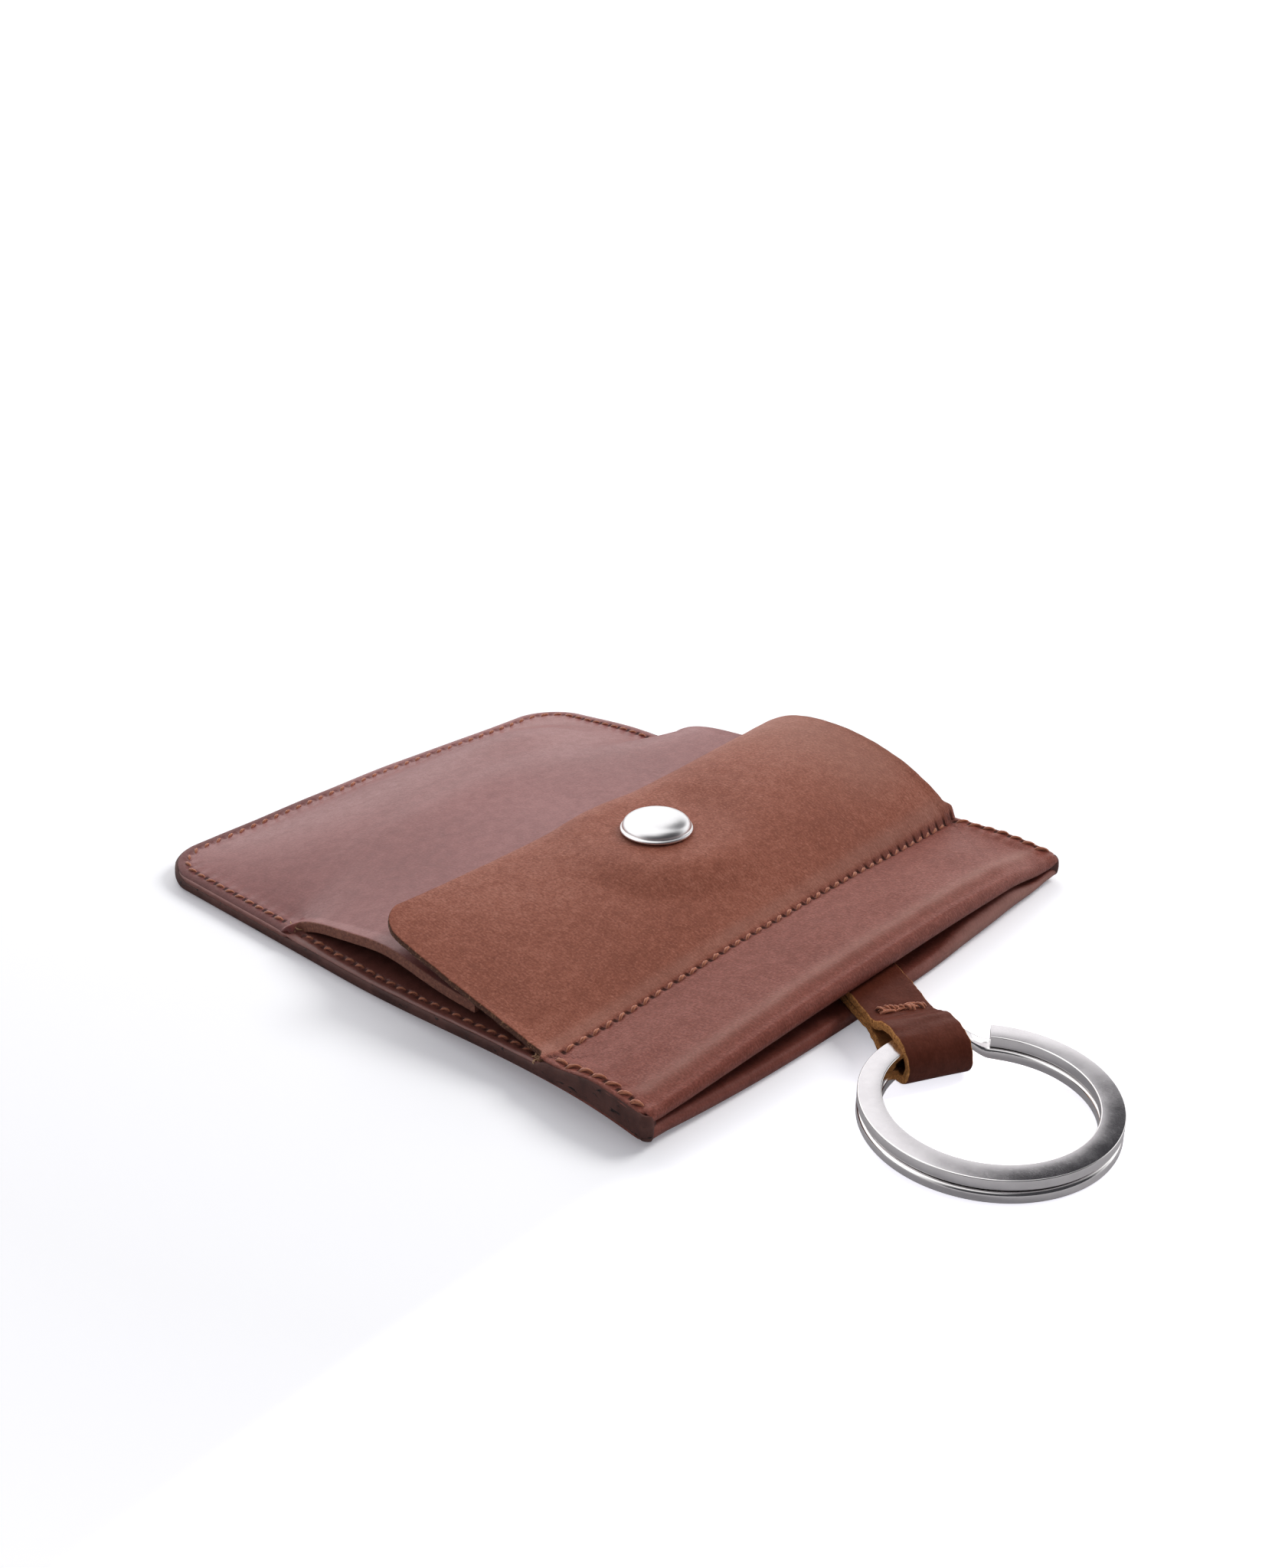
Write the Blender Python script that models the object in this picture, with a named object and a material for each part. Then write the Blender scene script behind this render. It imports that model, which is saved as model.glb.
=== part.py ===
"""Leather key case: a tapered pouch with a snapped coin pocket, a key strap and a split ring.

All lengths are metres. The pouch lies on its back panel at z = 0. X runs along the mouth, Y runs from
the mouth (at -Y) to the round end (at +Y), and the origin is the middle of the flat underside.
The leather pieces are sheets over a grid of rows (stations along Y) and columns (places across X).
Each surface is a height above the floor as a function of x and y, so plies that are sewn together
follow each other at the same small gap.
"""

import math

import bpy
import numpy as np

# Outline of the pouch
CASE_LENGTH = 0.0965
MOUTH_WIDTH = 0.0900
ROUND_END_WIDTH = 0.0774
CORNER_RADIUS = 0.0068
MOUTH_BOW = 0.0018
END_SKEW_SHARE = 0.02

# Leather, seams and thread
LEATHER = 0.0009
PLY_GAP = 0.0002
SEAM_MARGIN = 0.0032
STITCH_INSET = 0.0017
THREAD_DIAMETER = 0.0006
THREAD_GAP = 0.0001
HEM_WIDTH = 0.0080
HINGE_GAP = 0.0003

# Stations along the pouch, from the mouth, the flap's line, the tongue's tip, the snap and the round end
BAND_WIDTH = 0.01745
POCKET_LENGTH = 0.02855
TONGUE_STOP = 0.0143
SNAP_FROM_TONGUE_TIP = 0.0052
FLAP_PAST_SNAP = 0.0129
FLAP_STITCH_SETBACK = 0.0020
DIVIDER_THREAD_SETBACK = 0.0048

# Fullness of the pouch
EDGE_LIFT = 0.0019
EDGE_LIFT_MOUTH_SHARE = 0.37
EDGE_LIFT_PEAK_SETBACK = 0.0032
EDGE_LIFT_END_SHARE = 0.62
FLAT_SHARE = 0.45
PUFF_POWER = 2.4
KEY_ROOM_SPARE = 0.0001
KEY_ROOM_BACK = 0.0009
KEY_ROOM_SLOPE_LENGTH = 0.0215
HEM_FULLNESS = 0.0001
LIP_FULLNESS = 0.0009
POCKET_RISE = 0.0055
POCKET_PEAK_SETBACK = 0.0047

# Flap: heights of its free edge and of its arch at the near side, the middle and the far side
FLAP_INSET = 0.0012
FLAP_END_NEAR = 0.0113
FLAP_END_MIDDLE = 0.0102
FLAP_END_FAR = 0.0103
FLAP_ARCH_NEAR = -0.0005
FLAP_ARCH_MIDDLE = 0.0034
FLAP_ARCH_FAR = 0.0065
FLAP_ARCH_POWER = 0.6
FLAP_CORNER_RADIUS = 0.0050

# Tongue of the coin pocket: how far its free sides stand up from the seam
TONGUE_INSET = 0.0022
TONGUE_RISE_NEAR = 0.0029
TONGUE_RISE_FAR = 0.0057
TONGUE_RISE_LENGTH_NEAR = 0.0045
TONGUE_RISE_LENGTH_FAR = 0.0034
TONGUE_LEVEL_SHARE = 0.75

# Ring spring snap
SNAP_PAD_RADIUS = 0.0080
SNAP_PAD_FADE = 0.0080
CAP_DIAMETER = 0.0100
CAP_RISE = 0.0020
CAP_RIM = 0.0005
CAP_SEAT_GAP = 0.0003
BARREL_DIAMETER = 0.0030
BARREL_CLEARANCE = 0.0003
SOCKET_DIAMETER = 0.0084
SOCKET_HEIGHT = 0.0013
SOCKET_CAVITY_DIAMETER = 0.0048
SOCKET_ROOF = 0.0004
STUD_FLANGE_DIAMETER = 0.0080
STUD_FLANGE = 0.0005
STUD_HEAD_DIAMETER = 0.0040
STUD_HEAD_RISE = 0.0009
STUD_WALL = 0.0005
POST_FLANGE_DIAMETER = 0.0072
POST_FLANGE = 0.0004
POST_CLEARANCE = 0.0002
SNAP_GAP = 0.0002

# Strap
STRAP_WIDTH = 0.0087
STRAP_LEATHER = 0.0010
STRAP_PLY_GAP = 0.0001
STRAP_PIVOT_DEPTH = 0.00325
STRAP_SKEW = math.radians(29.0)
LIFT_SETBACK = 0.0039
STRAP_LOOP_REACH = 0.0202
LOOP_FLAT = 0.0026
STRAP_LIFT_UP = math.radians(40.0)
STRAP_LIFT_DOWN = math.radians(45.0)
LOOP_INNER_RADIUS = 0.0025
LOOP_THROAT = 0.0042
LOOP_OPEN_ANGLE = math.radians(120.0)
STRAP_HINGE_CLEARANCE = 0.0001
STRAP_GAP = 0.0003
TAB_CLEARANCE = 0.0003
TAB_PAST_FLAP_LINE = 0.0018
TACK_LENGTH = 0.0055
TACK_SETBACK = 0.0010

# Split ring
RING_DIAMETER = 0.0310
RING_BAND = 0.0024
RING_WIRE_HEIGHT = 0.00125
RING_COIL_GAP = 0.0001
RING_CHAMFER = 0.0002
RING_YAW = math.radians(23.0)
RING_SEAT_SHIFT = 0.00055
RING_CUT_ANGLE = math.radians(33.0)
RING_STEP_ANGLE = math.radians(18.0)

# Columns across the sewn plies, as shares of the half width inside the seam
INNER_SHARES = (0.0, 0.16, 0.32, 0.50, 0.68, 0.84, 0.94, 1.0)
FREE_SHARES = (0.0, 0.135, 0.29, 0.46, 0.64, 0.82, 0.93, 1.0)

# Rows between a lip's fold and the straight rows behind it, as shares of that stretch
PANEL_LIP_SHARES = (0.0, 0.3, 0.65)
HEM_SHARES = (1.0, 0.5, 0.0)
DIVIDER_LIP_SHARES = (0.72, 0.4, 0.15, 0.0)
BAND_SHARES = (0.0, 0.2, 0.5, 0.75)
POCKET_PLIES_BELOW = 2

# Fineness of the curves
SMOOTH_ANGLE = math.radians(40.0)
CORNER_TURNS = np.radians([0.0, 20.0, 40.0, 60.0])
DOME_TURNS = np.radians([0.0, 22.0, 45.0, 68.0])
TURNED_SEGMENTS = 24
THREAD_SIDES = 6
FOLD_STEPS = 5
LONG_ROWS = 5
MIDDLE_ROWS = 3
SHORT_ROWS = 2
BEND_STEPS = 7
RING_TURN_STEPS = 34
RING_OVERLAP_SHARE = 1.12
HALF = 0.5
WHOLE_TURN = 2.0 * math.pi
QUARTER_TURN = HALF * math.pi

LEATHER_BODY = ("leather_body", (0.215, 0.098, 0.078), 0.42, 0.0)
LEATHER_FLAP = ("leather_flap", (0.245, 0.115, 0.070), 0.55, 0.0)
LEATHER_STRAP = ("leather_strap", (0.150, 0.062, 0.045), 0.45, 0.0)
THREAD_FINISH = ("thread", (0.34, 0.15, 0.085), 0.70, 0.0)
NICKEL_FINISH = ("nickel", (0.72, 0.71, 0.70), 0.18, 1.0)

MOUTH_Y = -HALF * CASE_LENGTH
ROUND_Y = HALF * CASE_LENGTH
FLAP_LINE_Y = MOUTH_Y + BAND_WIDTH
TONGUE_ROOT_Y = ROUND_Y - POCKET_LENGTH
TONGUE_TIP_Y = FLAP_LINE_Y + TONGUE_STOP
TONGUE_LENGTH = TONGUE_ROOT_Y - TONGUE_TIP_Y
SNAP_Y = TONGUE_TIP_Y + SNAP_FROM_TONGUE_TIP
FLAP_TIP_Y = SNAP_Y + FLAP_PAST_SNAP
FLAP_LENGTH = FLAP_TIP_Y - FLAP_LINE_Y
EDGE_LIFT_PEAK_Y = FLAP_LINE_Y - EDGE_LIFT_PEAK_SETBACK
EDGE_LIFT_END_Y = SNAP_Y + EDGE_LIFT_END_SHARE * (TONGUE_ROOT_Y - SNAP_Y)
POCKET_PEAK_Y = TONGUE_ROOT_Y - POCKET_PEAK_SETBACK
TAB_END_Y = FLAP_LINE_Y + TAB_PAST_FLAP_LINE
KEY_ROOM_SLOPE_END_Y = TAB_END_Y + KEY_ROOM_SLOPE_LENGTH
STRAP_PIVOT_Y = MOUTH_Y + STRAP_PIVOT_DEPTH
THROAT_REACH = STRAP_LOOP_REACH - LOOP_FLAT - LOOP_THROAT
TACK_REACH = THROAT_REACH - TACK_SETBACK
STRAP_LIFT_REACH = THROAT_REACH - LIFT_SETBACK
STRAP_HALF_STACK = STRAP_LEATHER + HALF * STRAP_PLY_GAP
HEM_TOP = 2.0 * LEATHER + PLY_GAP + 2.0 * HEM_FULLNESS
STRAP_Z = HEM_TOP + STRAP_GAP + STRAP_HALF_STACK
STRAP_TOP = STRAP_Z + STRAP_HALF_STACK
KEY_ROOM_MOUTH = STRAP_TOP + STRAP_GAP + KEY_ROOM_SPARE - LEATHER - PLY_GAP
STRAP_OUT = np.array([-math.sin(STRAP_SKEW), -math.cos(STRAP_SKEW), 0.0])
STRAP_SIDE = np.array([math.cos(STRAP_SKEW), -math.sin(STRAP_SKEW), 0.0])
STRAP_PIVOT = np.array([0.0, STRAP_PIVOT_Y, STRAP_Z])
STRAP_LIFT_POINT = STRAP_PIVOT + STRAP_LIFT_REACH * STRAP_OUT
LOOP_CENTRE = STRAP_PIVOT + STRAP_LOOP_REACH * STRAP_OUT


def clear_scene():
    for item in list(bpy.data.objects):
        bpy.data.objects.remove(item, do_unlink=True)


def make_material(finish):
    name, colour, roughness, metallic = finish
    material = bpy.data.materials.get(name) or bpy.data.materials.new(name)
    material.use_nodes = True
    shader = material.node_tree.nodes["Principled BSDF"]
    shader.inputs["Base Color"].default_value = (*colour, 1.0)
    shader.inputs["Roughness"].default_value = roughness
    shader.inputs["Metallic"].default_value = metallic
    return material


def make_axis(name, point, parent=None):
    """An empty on a joint's axis. Everything that moves with the joint hangs from it."""
    empty = bpy.data.objects.new(name, None)
    empty.empty_display_size = CORNER_RADIUS
    bpy.context.scene.collection.objects.link(empty)
    offset = np.array(point, float)
    if parent is not None:
        empty.parent = parent
        offset = offset - np.array(parent["axis_point"])
    empty["axis_point"] = [float(value) for value in point]
    empty.location = offset
    return empty


def make_object(name, points, faces, finish, axis=None, smooth_angle=SMOOTH_ANGLE):
    """A closed mesh with its faces outwards, placed on its joint's axis if it has one."""
    points = skew_end(np.asarray(points, float))
    volume = 0.0
    for face in faces:
        first = points[face[0]]
        for second, third in zip(face[1:-1], face[2:]):
            volume += float(np.dot(first, np.cross(points[second], points[third])))
    if volume < 0.0:
        faces = [tuple(reversed(face)) for face in faces]
    origin = np.array(axis["axis_point"]) if axis is not None else np.zeros(3)
    mesh = bpy.data.meshes.new(name)
    mesh.from_pydata((points - origin).tolist(), [], [tuple(int(i) for i in face) for face in faces])
    mesh.materials.append(make_material(finish))
    mesh.shade_smooth()
    mesh.set_sharp_from_angle(angle=smooth_angle)
    item = bpy.data.objects.new(name, mesh)
    bpy.context.scene.collection.objects.link(item)
    if axis is not None:
        item.parent = axis
    return item


def make_sheet(name, outer, inner, finish, axis=None):
    """Two grids of the same rows and columns, joined round their rim into one closed sheet."""
    rows, columns = outer.shape[:2]
    index = np.arange(rows * columns).reshape(rows, columns)
    shift = rows * columns
    faces = []
    for row in range(rows - 1):
        for column in range(columns - 1):
            quad = (
                index[row, column],
                index[row, column + 1],
                index[row + 1, column + 1],
                index[row + 1, column],
            )
            faces.append(quad)
            faces.append(tuple(corner + shift for corner in reversed(quad)))
    rim = list(index[0, :]) + list(index[1:, -1]) + list(index[-1, -2::-1]) + list(index[-2:0:-1, 0])
    for first, second in zip(rim, rim[1:] + rim[:1]):
        faces.append((second, first, first + shift, second + shift))
    points = np.concatenate([outer.reshape(-1, 3), inner.reshape(-1, 3)])
    return make_object(name, points, faces, finish, axis)


def make_turned(name, profile, centre, finish, axis=None, segments=TURNED_SEGMENTS):
    """A profile of (radius, height) turned round a vertical line. A ring profile closes on itself."""
    turns = np.linspace(0.0, WHOLE_TURN, segments, endpoint=False)
    points = []
    rings = []
    for radius, height in profile:
        if radius <= 0.0:
            rings.append([len(points)])
            points.append((0.0, 0.0, height))
            continue
        rings.append(list(range(len(points), len(points) + segments)))
        points.extend((radius * math.cos(turn), radius * math.sin(turn), height) for turn in turns)
    pairs = list(zip(rings, rings[1:]))
    if all(radius > 0.0 for radius, _ in profile):
        pairs.append((rings[-1], rings[0]))
    faces = []
    for lower, upper in pairs:
        for step in range(segments):
            after = (step + 1) % segments
            if len(lower) == 1:
                faces.append((lower[0], upper[after], upper[step]))
            elif len(upper) == 1:
                faces.append((lower[step], lower[after], upper[0]))
            else:
                faces.append((lower[step], lower[after], upper[after], upper[step]))
    points = np.array(points) + np.array([centre[0], centre[1], 0.0])
    return make_object(name, points, faces, finish, axis)


def make_tube(name, path, radius, finish, axis=None, sides=THREAD_SIDES):
    """A round tube along a path of points, with flat ends."""
    path = np.asarray(path, float)
    along = np.gradient(path, axis=0)
    along /= np.linalg.norm(along, axis=1)[:, None]
    side = np.cross(along, [0.0, 0.0, 1.0])
    side /= np.linalg.norm(side, axis=1)[:, None]
    up = np.cross(side, along)
    turns = np.linspace(0.0, WHOLE_TURN, sides, endpoint=False)
    ring = np.cos(turns)[None, :, None] * side[:, None, :] + np.sin(turns)[None, :, None] * up[:, None, :]
    points = (path[:, None, :] + radius * ring).reshape(-1, 3)
    faces = []
    for step in range(len(path) - 1):
        for turn in range(sides):
            after = (turn + 1) % sides
            low, high = step * sides, (step + 1) * sides
            faces.append((low + turn, low + after, high + after, high + turn))
    faces.append(tuple(range(sides))[::-1])
    faces.append(tuple(range((len(path) - 1) * sides, len(path) * sides)))
    return make_object(name, points, faces, finish, axis)


def make_plate(name, outline, low, high, finish, axis=None):
    """A flat outline carried up from one height to another."""
    count = len(outline)
    points = [(x, y, low) for x, y in outline] + [(x, y, high) for x, y in outline]
    faces = [tuple(range(count))[::-1], tuple(range(count, 2 * count))]
    for corner in range(count):
        after = (corner + 1) % count
        faces.append((corner, after, after + count, corner + count))
    return make_object(name, points, faces, finish, axis)


def cut_hole(item, centre, radius, low, high):
    """Cuts a round hole with a hidden cylinder."""
    turns = np.linspace(0.0, WHOLE_TURN, TURNED_SEGMENTS, endpoint=False)
    outline = [(centre[0] + radius * math.cos(turn), centre[1] + radius * math.sin(turn)) for turn in turns]
    cutter = make_plate(item.name + "_hole_cutter", outline, low, high, NICKEL_FINISH)
    cutter.hide_render = True
    cutter.display_type = "WIRE"
    cut = item.modifiers.new("hole", "BOOLEAN")
    cut.operation = "DIFFERENCE"
    cut.solver = "EXACT"
    cut.object = cutter


def smooth_step(share):
    share = np.clip(share, 0.0, 1.0)
    return share * share * (3.0 - 2.0 * share)


def skew_end(points):
    """The round end is a little off square: it runs further out at the near side than at the far one."""
    share = smooth_step((points[:, 1] - TONGUE_ROOT_Y) / (ROUND_Y - TONGUE_ROOT_Y))
    moved = points.copy()
    moved[:, 1] -= END_SKEW_SHARE * points[:, 0] * share
    return moved


def half_width(y):
    """Half the pouch's width, narrowing in a straight line from the mouth to the round end."""
    share = (y - MOUTH_Y) / CASE_LENGTH
    return HALF * (MOUTH_WIDTH + (ROUND_END_WIDTH - MOUTH_WIDTH) * share)


def outline_half(y):
    """Half the width with the two corners of the round end taken off."""
    into = np.clip(y - (ROUND_Y - CORNER_RADIUS), 0.0, CORNER_RADIUS)
    return half_width(y) - CORNER_RADIUS + np.sqrt(CORNER_RADIUS**2 - into**2)


def puff(x, y):
    """1 along the middle of the pouch and 0 at the seam: the crown of a filled pouch."""
    share = np.abs(x) / (outline_half(y) - SEAM_MARGIN)
    return 1.0 - np.clip(share, 0.0, 1.0) ** PUFF_POWER


def end_puff(y):
    """1 up to the fullest station and 0 at the seam of the round end."""
    share = (y - POCKET_PEAK_Y) / (ROUND_Y - SEAM_MARGIN - POCKET_PEAK_Y)
    return 1.0 - np.clip(share, 0.0, 1.0) ** PUFF_POWER


def edge_lift(y):
    """How far the side seams stand off the floor: most near the flap line, nothing at the round end."""
    toward_end = np.clip((y - EDGE_LIFT_PEAK_Y) / (EDGE_LIFT_END_Y - EDGE_LIFT_PEAK_Y), 0.0, 1.0)
    toward_mouth = np.clip((EDGE_LIFT_PEAK_Y - y) / (EDGE_LIFT_PEAK_Y - MOUTH_Y), 0.0, 1.0)
    fall = (1.0 - EDGE_LIFT_MOUTH_SHARE) * toward_mouth**2
    return EDGE_LIFT * (np.cos(HALF * math.pi * toward_end) ** 2 - fall)


def back_under(x, y):
    """Underside of the back panel: flat on the floor in the middle, raised at the side seams."""
    outward = np.clip((np.abs(x) / half_width(y) - FLAT_SHARE) / (1.0 - FLAT_SHARE), 0.0, 1.0)
    return edge_lift(y) * outward**2


def hem_radius(share):
    """Radius of the lower lip's turned edge, measured to the middle of the leather."""
    return HALF * (LEATHER + PLY_GAP) + HEM_FULLNESS * (1.0 - share**PUFF_POWER)


def key_room(y):
    """Height of the key compartment along its middle."""
    share = (KEY_ROOM_SLOPE_END_Y - y) / KEY_ROOM_SLOPE_LENGTH
    return KEY_ROOM_BACK + (KEY_ROOM_MOUTH - KEY_ROOM_BACK) * smooth_step(share)


def divider_under(x, y):
    """Underside of the divider: on the hem or the back panel at the seams, raised over the keys."""
    hem_end = MOUTH_Y + HEM_WIDTH
    on_hem = 1.0 - smooth_step((y - hem_end) / HEM_WIDTH)
    crown = puff(x, y)
    seam = (LEATHER + PLY_GAP) * on_hem * (1.0 - crown)
    room = key_room(y) * end_puff(y) * crown
    return back_under(x, y) + LEATHER + PLY_GAP + seam + room


def divider_top(x, y):
    return divider_under(x, y) + LEATHER


def band_under(x, y):
    """Underside of the front band: on the divider at the flap line, standing off it at the lip."""
    share = (FLAP_LINE_Y - y) / (FLAP_LINE_Y - MOUTH_Y - HEM_WIDTH * HALF)
    return divider_top(x, y) + PLY_GAP + LIP_FULLNESS * smooth_step(share) * puff(x, y)


def band_top(x, y):
    return band_under(x, y) + LEATHER


def pocket_top(x, y):
    """Top of the coin pocket where it is sewn down at its sides."""
    seam = back_under(x, y) + LEATHER + POCKET_PLIES_BELOW * (LEATHER + PLY_GAP)
    return seam + POCKET_RISE * end_puff(y) * puff(x, y)


def flap_top_free(x, y):
    """Flap before the snap draws it flat: a slope from the flap line to the free edge plus an arch."""
    width = half_width(y) - FLAP_INSET
    across = np.clip(x / width, -1.0, 1.0)
    along = np.clip((y - FLAP_LINE_Y) / FLAP_LENGTH, 0.0, 1.0)
    root = band_top(x, FLAP_LINE_Y)
    end = FLAP_END_MIDDLE + three_way(across, FLAP_END_NEAR, FLAP_END_MIDDLE, FLAP_END_FAR)
    arch = FLAP_ARCH_MIDDLE + three_way(across, FLAP_ARCH_NEAR, FLAP_ARCH_MIDDLE, FLAP_ARCH_FAR)
    bow = (4.0 * along * (1.0 - along)) ** FLAP_ARCH_POWER
    return root * (1.0 - along) + end * along + arch * bow


def three_way(across, near, middle, far):
    """A parabola through the near, middle and far values, less the middle one."""
    return HALF * (far - near) * across + (HALF * (far + near) - middle) * across**2


def snap_share(x, y):
    """1 on the flat pad round the snap, fading to 0 outside it."""
    distance = np.hypot(x, y - SNAP_Y)
    return 1.0 - smooth_step((distance - SNAP_PAD_RADIUS) / SNAP_PAD_FADE)


def flap_top(x, y):
    pad = flap_top_free(np.zeros_like(x), np.full_like(y, SNAP_Y))
    share = snap_share(x, y)
    return flap_top_free(x, y) * (1.0 - share) + pad * share


def snap_levels():
    """Heights of the snap's seats, worked down from the top of the flap."""
    levels = {"flap_top": float(flap_top_free(np.zeros(1), np.full(1, SNAP_Y))[0])}
    levels["flap_under"] = levels["flap_top"] - LEATHER
    levels["socket_top"] = levels["flap_under"] - THREAD_GAP
    levels["socket_under"] = levels["socket_top"] - SOCKET_HEIGHT
    levels["stud_flange_top"] = levels["socket_under"] - SNAP_GAP
    levels["stud_flange_under"] = levels["stud_flange_top"] - STUD_FLANGE
    levels["tongue_top"] = levels["stud_flange_under"] - THREAD_GAP
    levels["tongue_under"] = levels["tongue_top"] - LEATHER
    levels["post_flange_top"] = levels["tongue_under"] - THREAD_GAP
    return levels


def tongue_top(x, y):
    """Coin pocket's free tongue: level in the middle, with its sides standing up from the seam."""
    root = pocket_top(x, np.full_like(y, TONGUE_ROOT_Y))
    away = np.clip(TONGUE_ROOT_Y - y, 0.0, None)
    reach = away / TONGUE_LENGTH
    middle = pocket_top(np.zeros_like(x), np.full_like(y, TONGUE_ROOT_Y))
    level = (snap_levels()["tongue_top"] - middle) * smooth_step(reach / TONGUE_LEVEL_SHARE)
    near = TONGUE_RISE_NEAR * (1.0 - np.exp(-away / TONGUE_RISE_LENGTH_NEAR))
    far = TONGUE_RISE_FAR * (1.0 - np.exp(-away / TONGUE_RISE_LENGTH_FAR))
    across = np.clip(x / (half_width(y) - TONGUE_INSET), -1.0, 1.0)
    side_rise = np.where(across < 0.0, near, far)
    crown = puff(x, np.full_like(y, TONGUE_ROOT_Y))
    free = root + level * crown + side_rise * (1.0 - crown)
    share = snap_share(x, y)
    return free * (1.0 - share) + snap_levels()["tongue_top"] * share


def seam_columns():
    """Columns of the sewn plies: shares inside the seam, then the stitch line and the edge."""
    inner = [(share, 0.0) for share in INNER_SHARES]
    outer = [(1.0, SEAM_MARGIN - STITCH_INSET), (1.0, SEAM_MARGIN)]
    right = inner + outer
    left = [(-share, -extra) for share, extra in reversed(right[1:])]
    return np.array(left + right)


def seam_x(y):
    """x of every column at stations y, as a grid."""
    columns = seam_columns()
    inside = outline_half(y) - SEAM_MARGIN
    return columns[None, :, 0] * inside + columns[None, :, 1]


def free_x(y, inset):
    shares = np.array([-share for share in reversed(FREE_SHARES[1:])] + list(FREE_SHARES))
    return shares[None, :] * (half_width(y) - inset)


def stations(*stops):
    """Stations along Y: each stop is (place, number of steps to the next stop)."""
    rows = []
    for (place, steps), (after, _) in zip(stops, stops[1:]):
        rows.extend(np.linspace(place, after, steps, endpoint=False))
    rows.append(stops[-1][0])
    return np.array(rows)


def round_end_stations():
    """Stations round the two corners, closer together as the outline turns in."""
    corner = ROUND_Y - CORNER_RADIUS + CORNER_RADIUS * np.sin(CORNER_TURNS)
    kept = [place for place in corner if place < ROUND_Y - SEAM_MARGIN]
    return np.array(kept + [ROUND_Y - SEAM_MARGIN, ROUND_Y - STITCH_INSET, ROUND_Y])


def with_height(x, y, z):
    return np.stack(np.broadcast_arrays(x, y, z), axis=-1)


def vertical(sign, shape):
    normal = np.zeros((*shape, 3))
    normal[..., 2] = sign
    return normal


def lip_fold(centre_y, centre_z, radius):
    """Half turn of leather at the mouth, from its lower side round the front to its upper side."""
    turns = np.linspace(-QUARTER_TURN, QUARTER_TURN, FOLD_STEPS + 2)[1:-1, None]
    y = centre_y - radius * np.cos(turns)
    z = centre_z + radius * np.sin(turns)
    x = seam_x(np.maximum(y, MOUTH_Y))
    flat = np.zeros_like(y)
    normal = with_height(flat, flat - np.cos(turns), flat + np.sin(turns))
    return with_height(x, y, z), normal


def mouth_line():
    """Front of the lips at each column, bowed out in the middle."""
    shares = seam_columns()[:, 0]
    return MOUTH_Y - MOUTH_BOW * (1.0 - shares**2)


def lip_rows(start, end_place, shares):
    """Stations between a lip's fold and a straight row, as a grid over the columns."""
    return start[None, :] + (end_place - start[None, :]) * np.array(shares)[:, None]


def make_back_panel():
    """Back panel with its edge at the mouth turned in and pressed flat."""
    shares = np.abs(seam_columns()[:, 0])
    radius = hem_radius(shares)
    fold_y = mouth_line() + radius + HALF * LEATHER
    straight = np.concatenate([
        stations(
            (FLAP_LINE_Y, LONG_ROWS),
            (SNAP_Y, MIDDLE_ROWS),
            (EDGE_LIFT_END_Y, SHORT_ROWS),
            (ROUND_Y - CORNER_RADIUS, 1),
        )[:-1],
        round_end_stations(),
    ])
    panel_y = np.concatenate([
        lip_rows(fold_y, FLAP_LINE_Y, PANEL_LIP_SHARES),
        np.repeat(straight[:, None], len(shares), axis=1),
    ])
    panel_x = seam_x(np.maximum(panel_y, MOUTH_Y))
    panel_z = back_under(panel_x, np.maximum(panel_y, MOUTH_Y)) + HALF * LEATHER
    hem_y = lip_rows(fold_y, MOUTH_Y + HEM_WIDTH, HEM_SHARES)
    hem_x = seam_x(np.maximum(hem_y, MOUTH_Y))
    hem_base = back_under(hem_x, np.maximum(hem_y, MOUTH_Y)) + HALF * LEATHER
    hem_z = hem_base + 2.0 * radius[None, :]
    fold_base = panel_z[0]
    fold, fold_normal = lip_fold(fold_y, fold_base + radius, radius)
    hem = with_height(hem_x, hem_y, hem_z)
    panel = with_height(panel_x, panel_y, panel_z)
    centre = np.concatenate([hem, fold[::-1], panel])
    normal = np.concatenate([
        vertical(1.0, hem_y.shape),
        fold_normal[::-1],
        vertical(-1.0, panel_y.shape),
    ])
    reach = HALF * LEATHER
    return make_sheet("back_panel", centre + reach * normal, centre - reach * normal, LEATHER_BODY)


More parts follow.
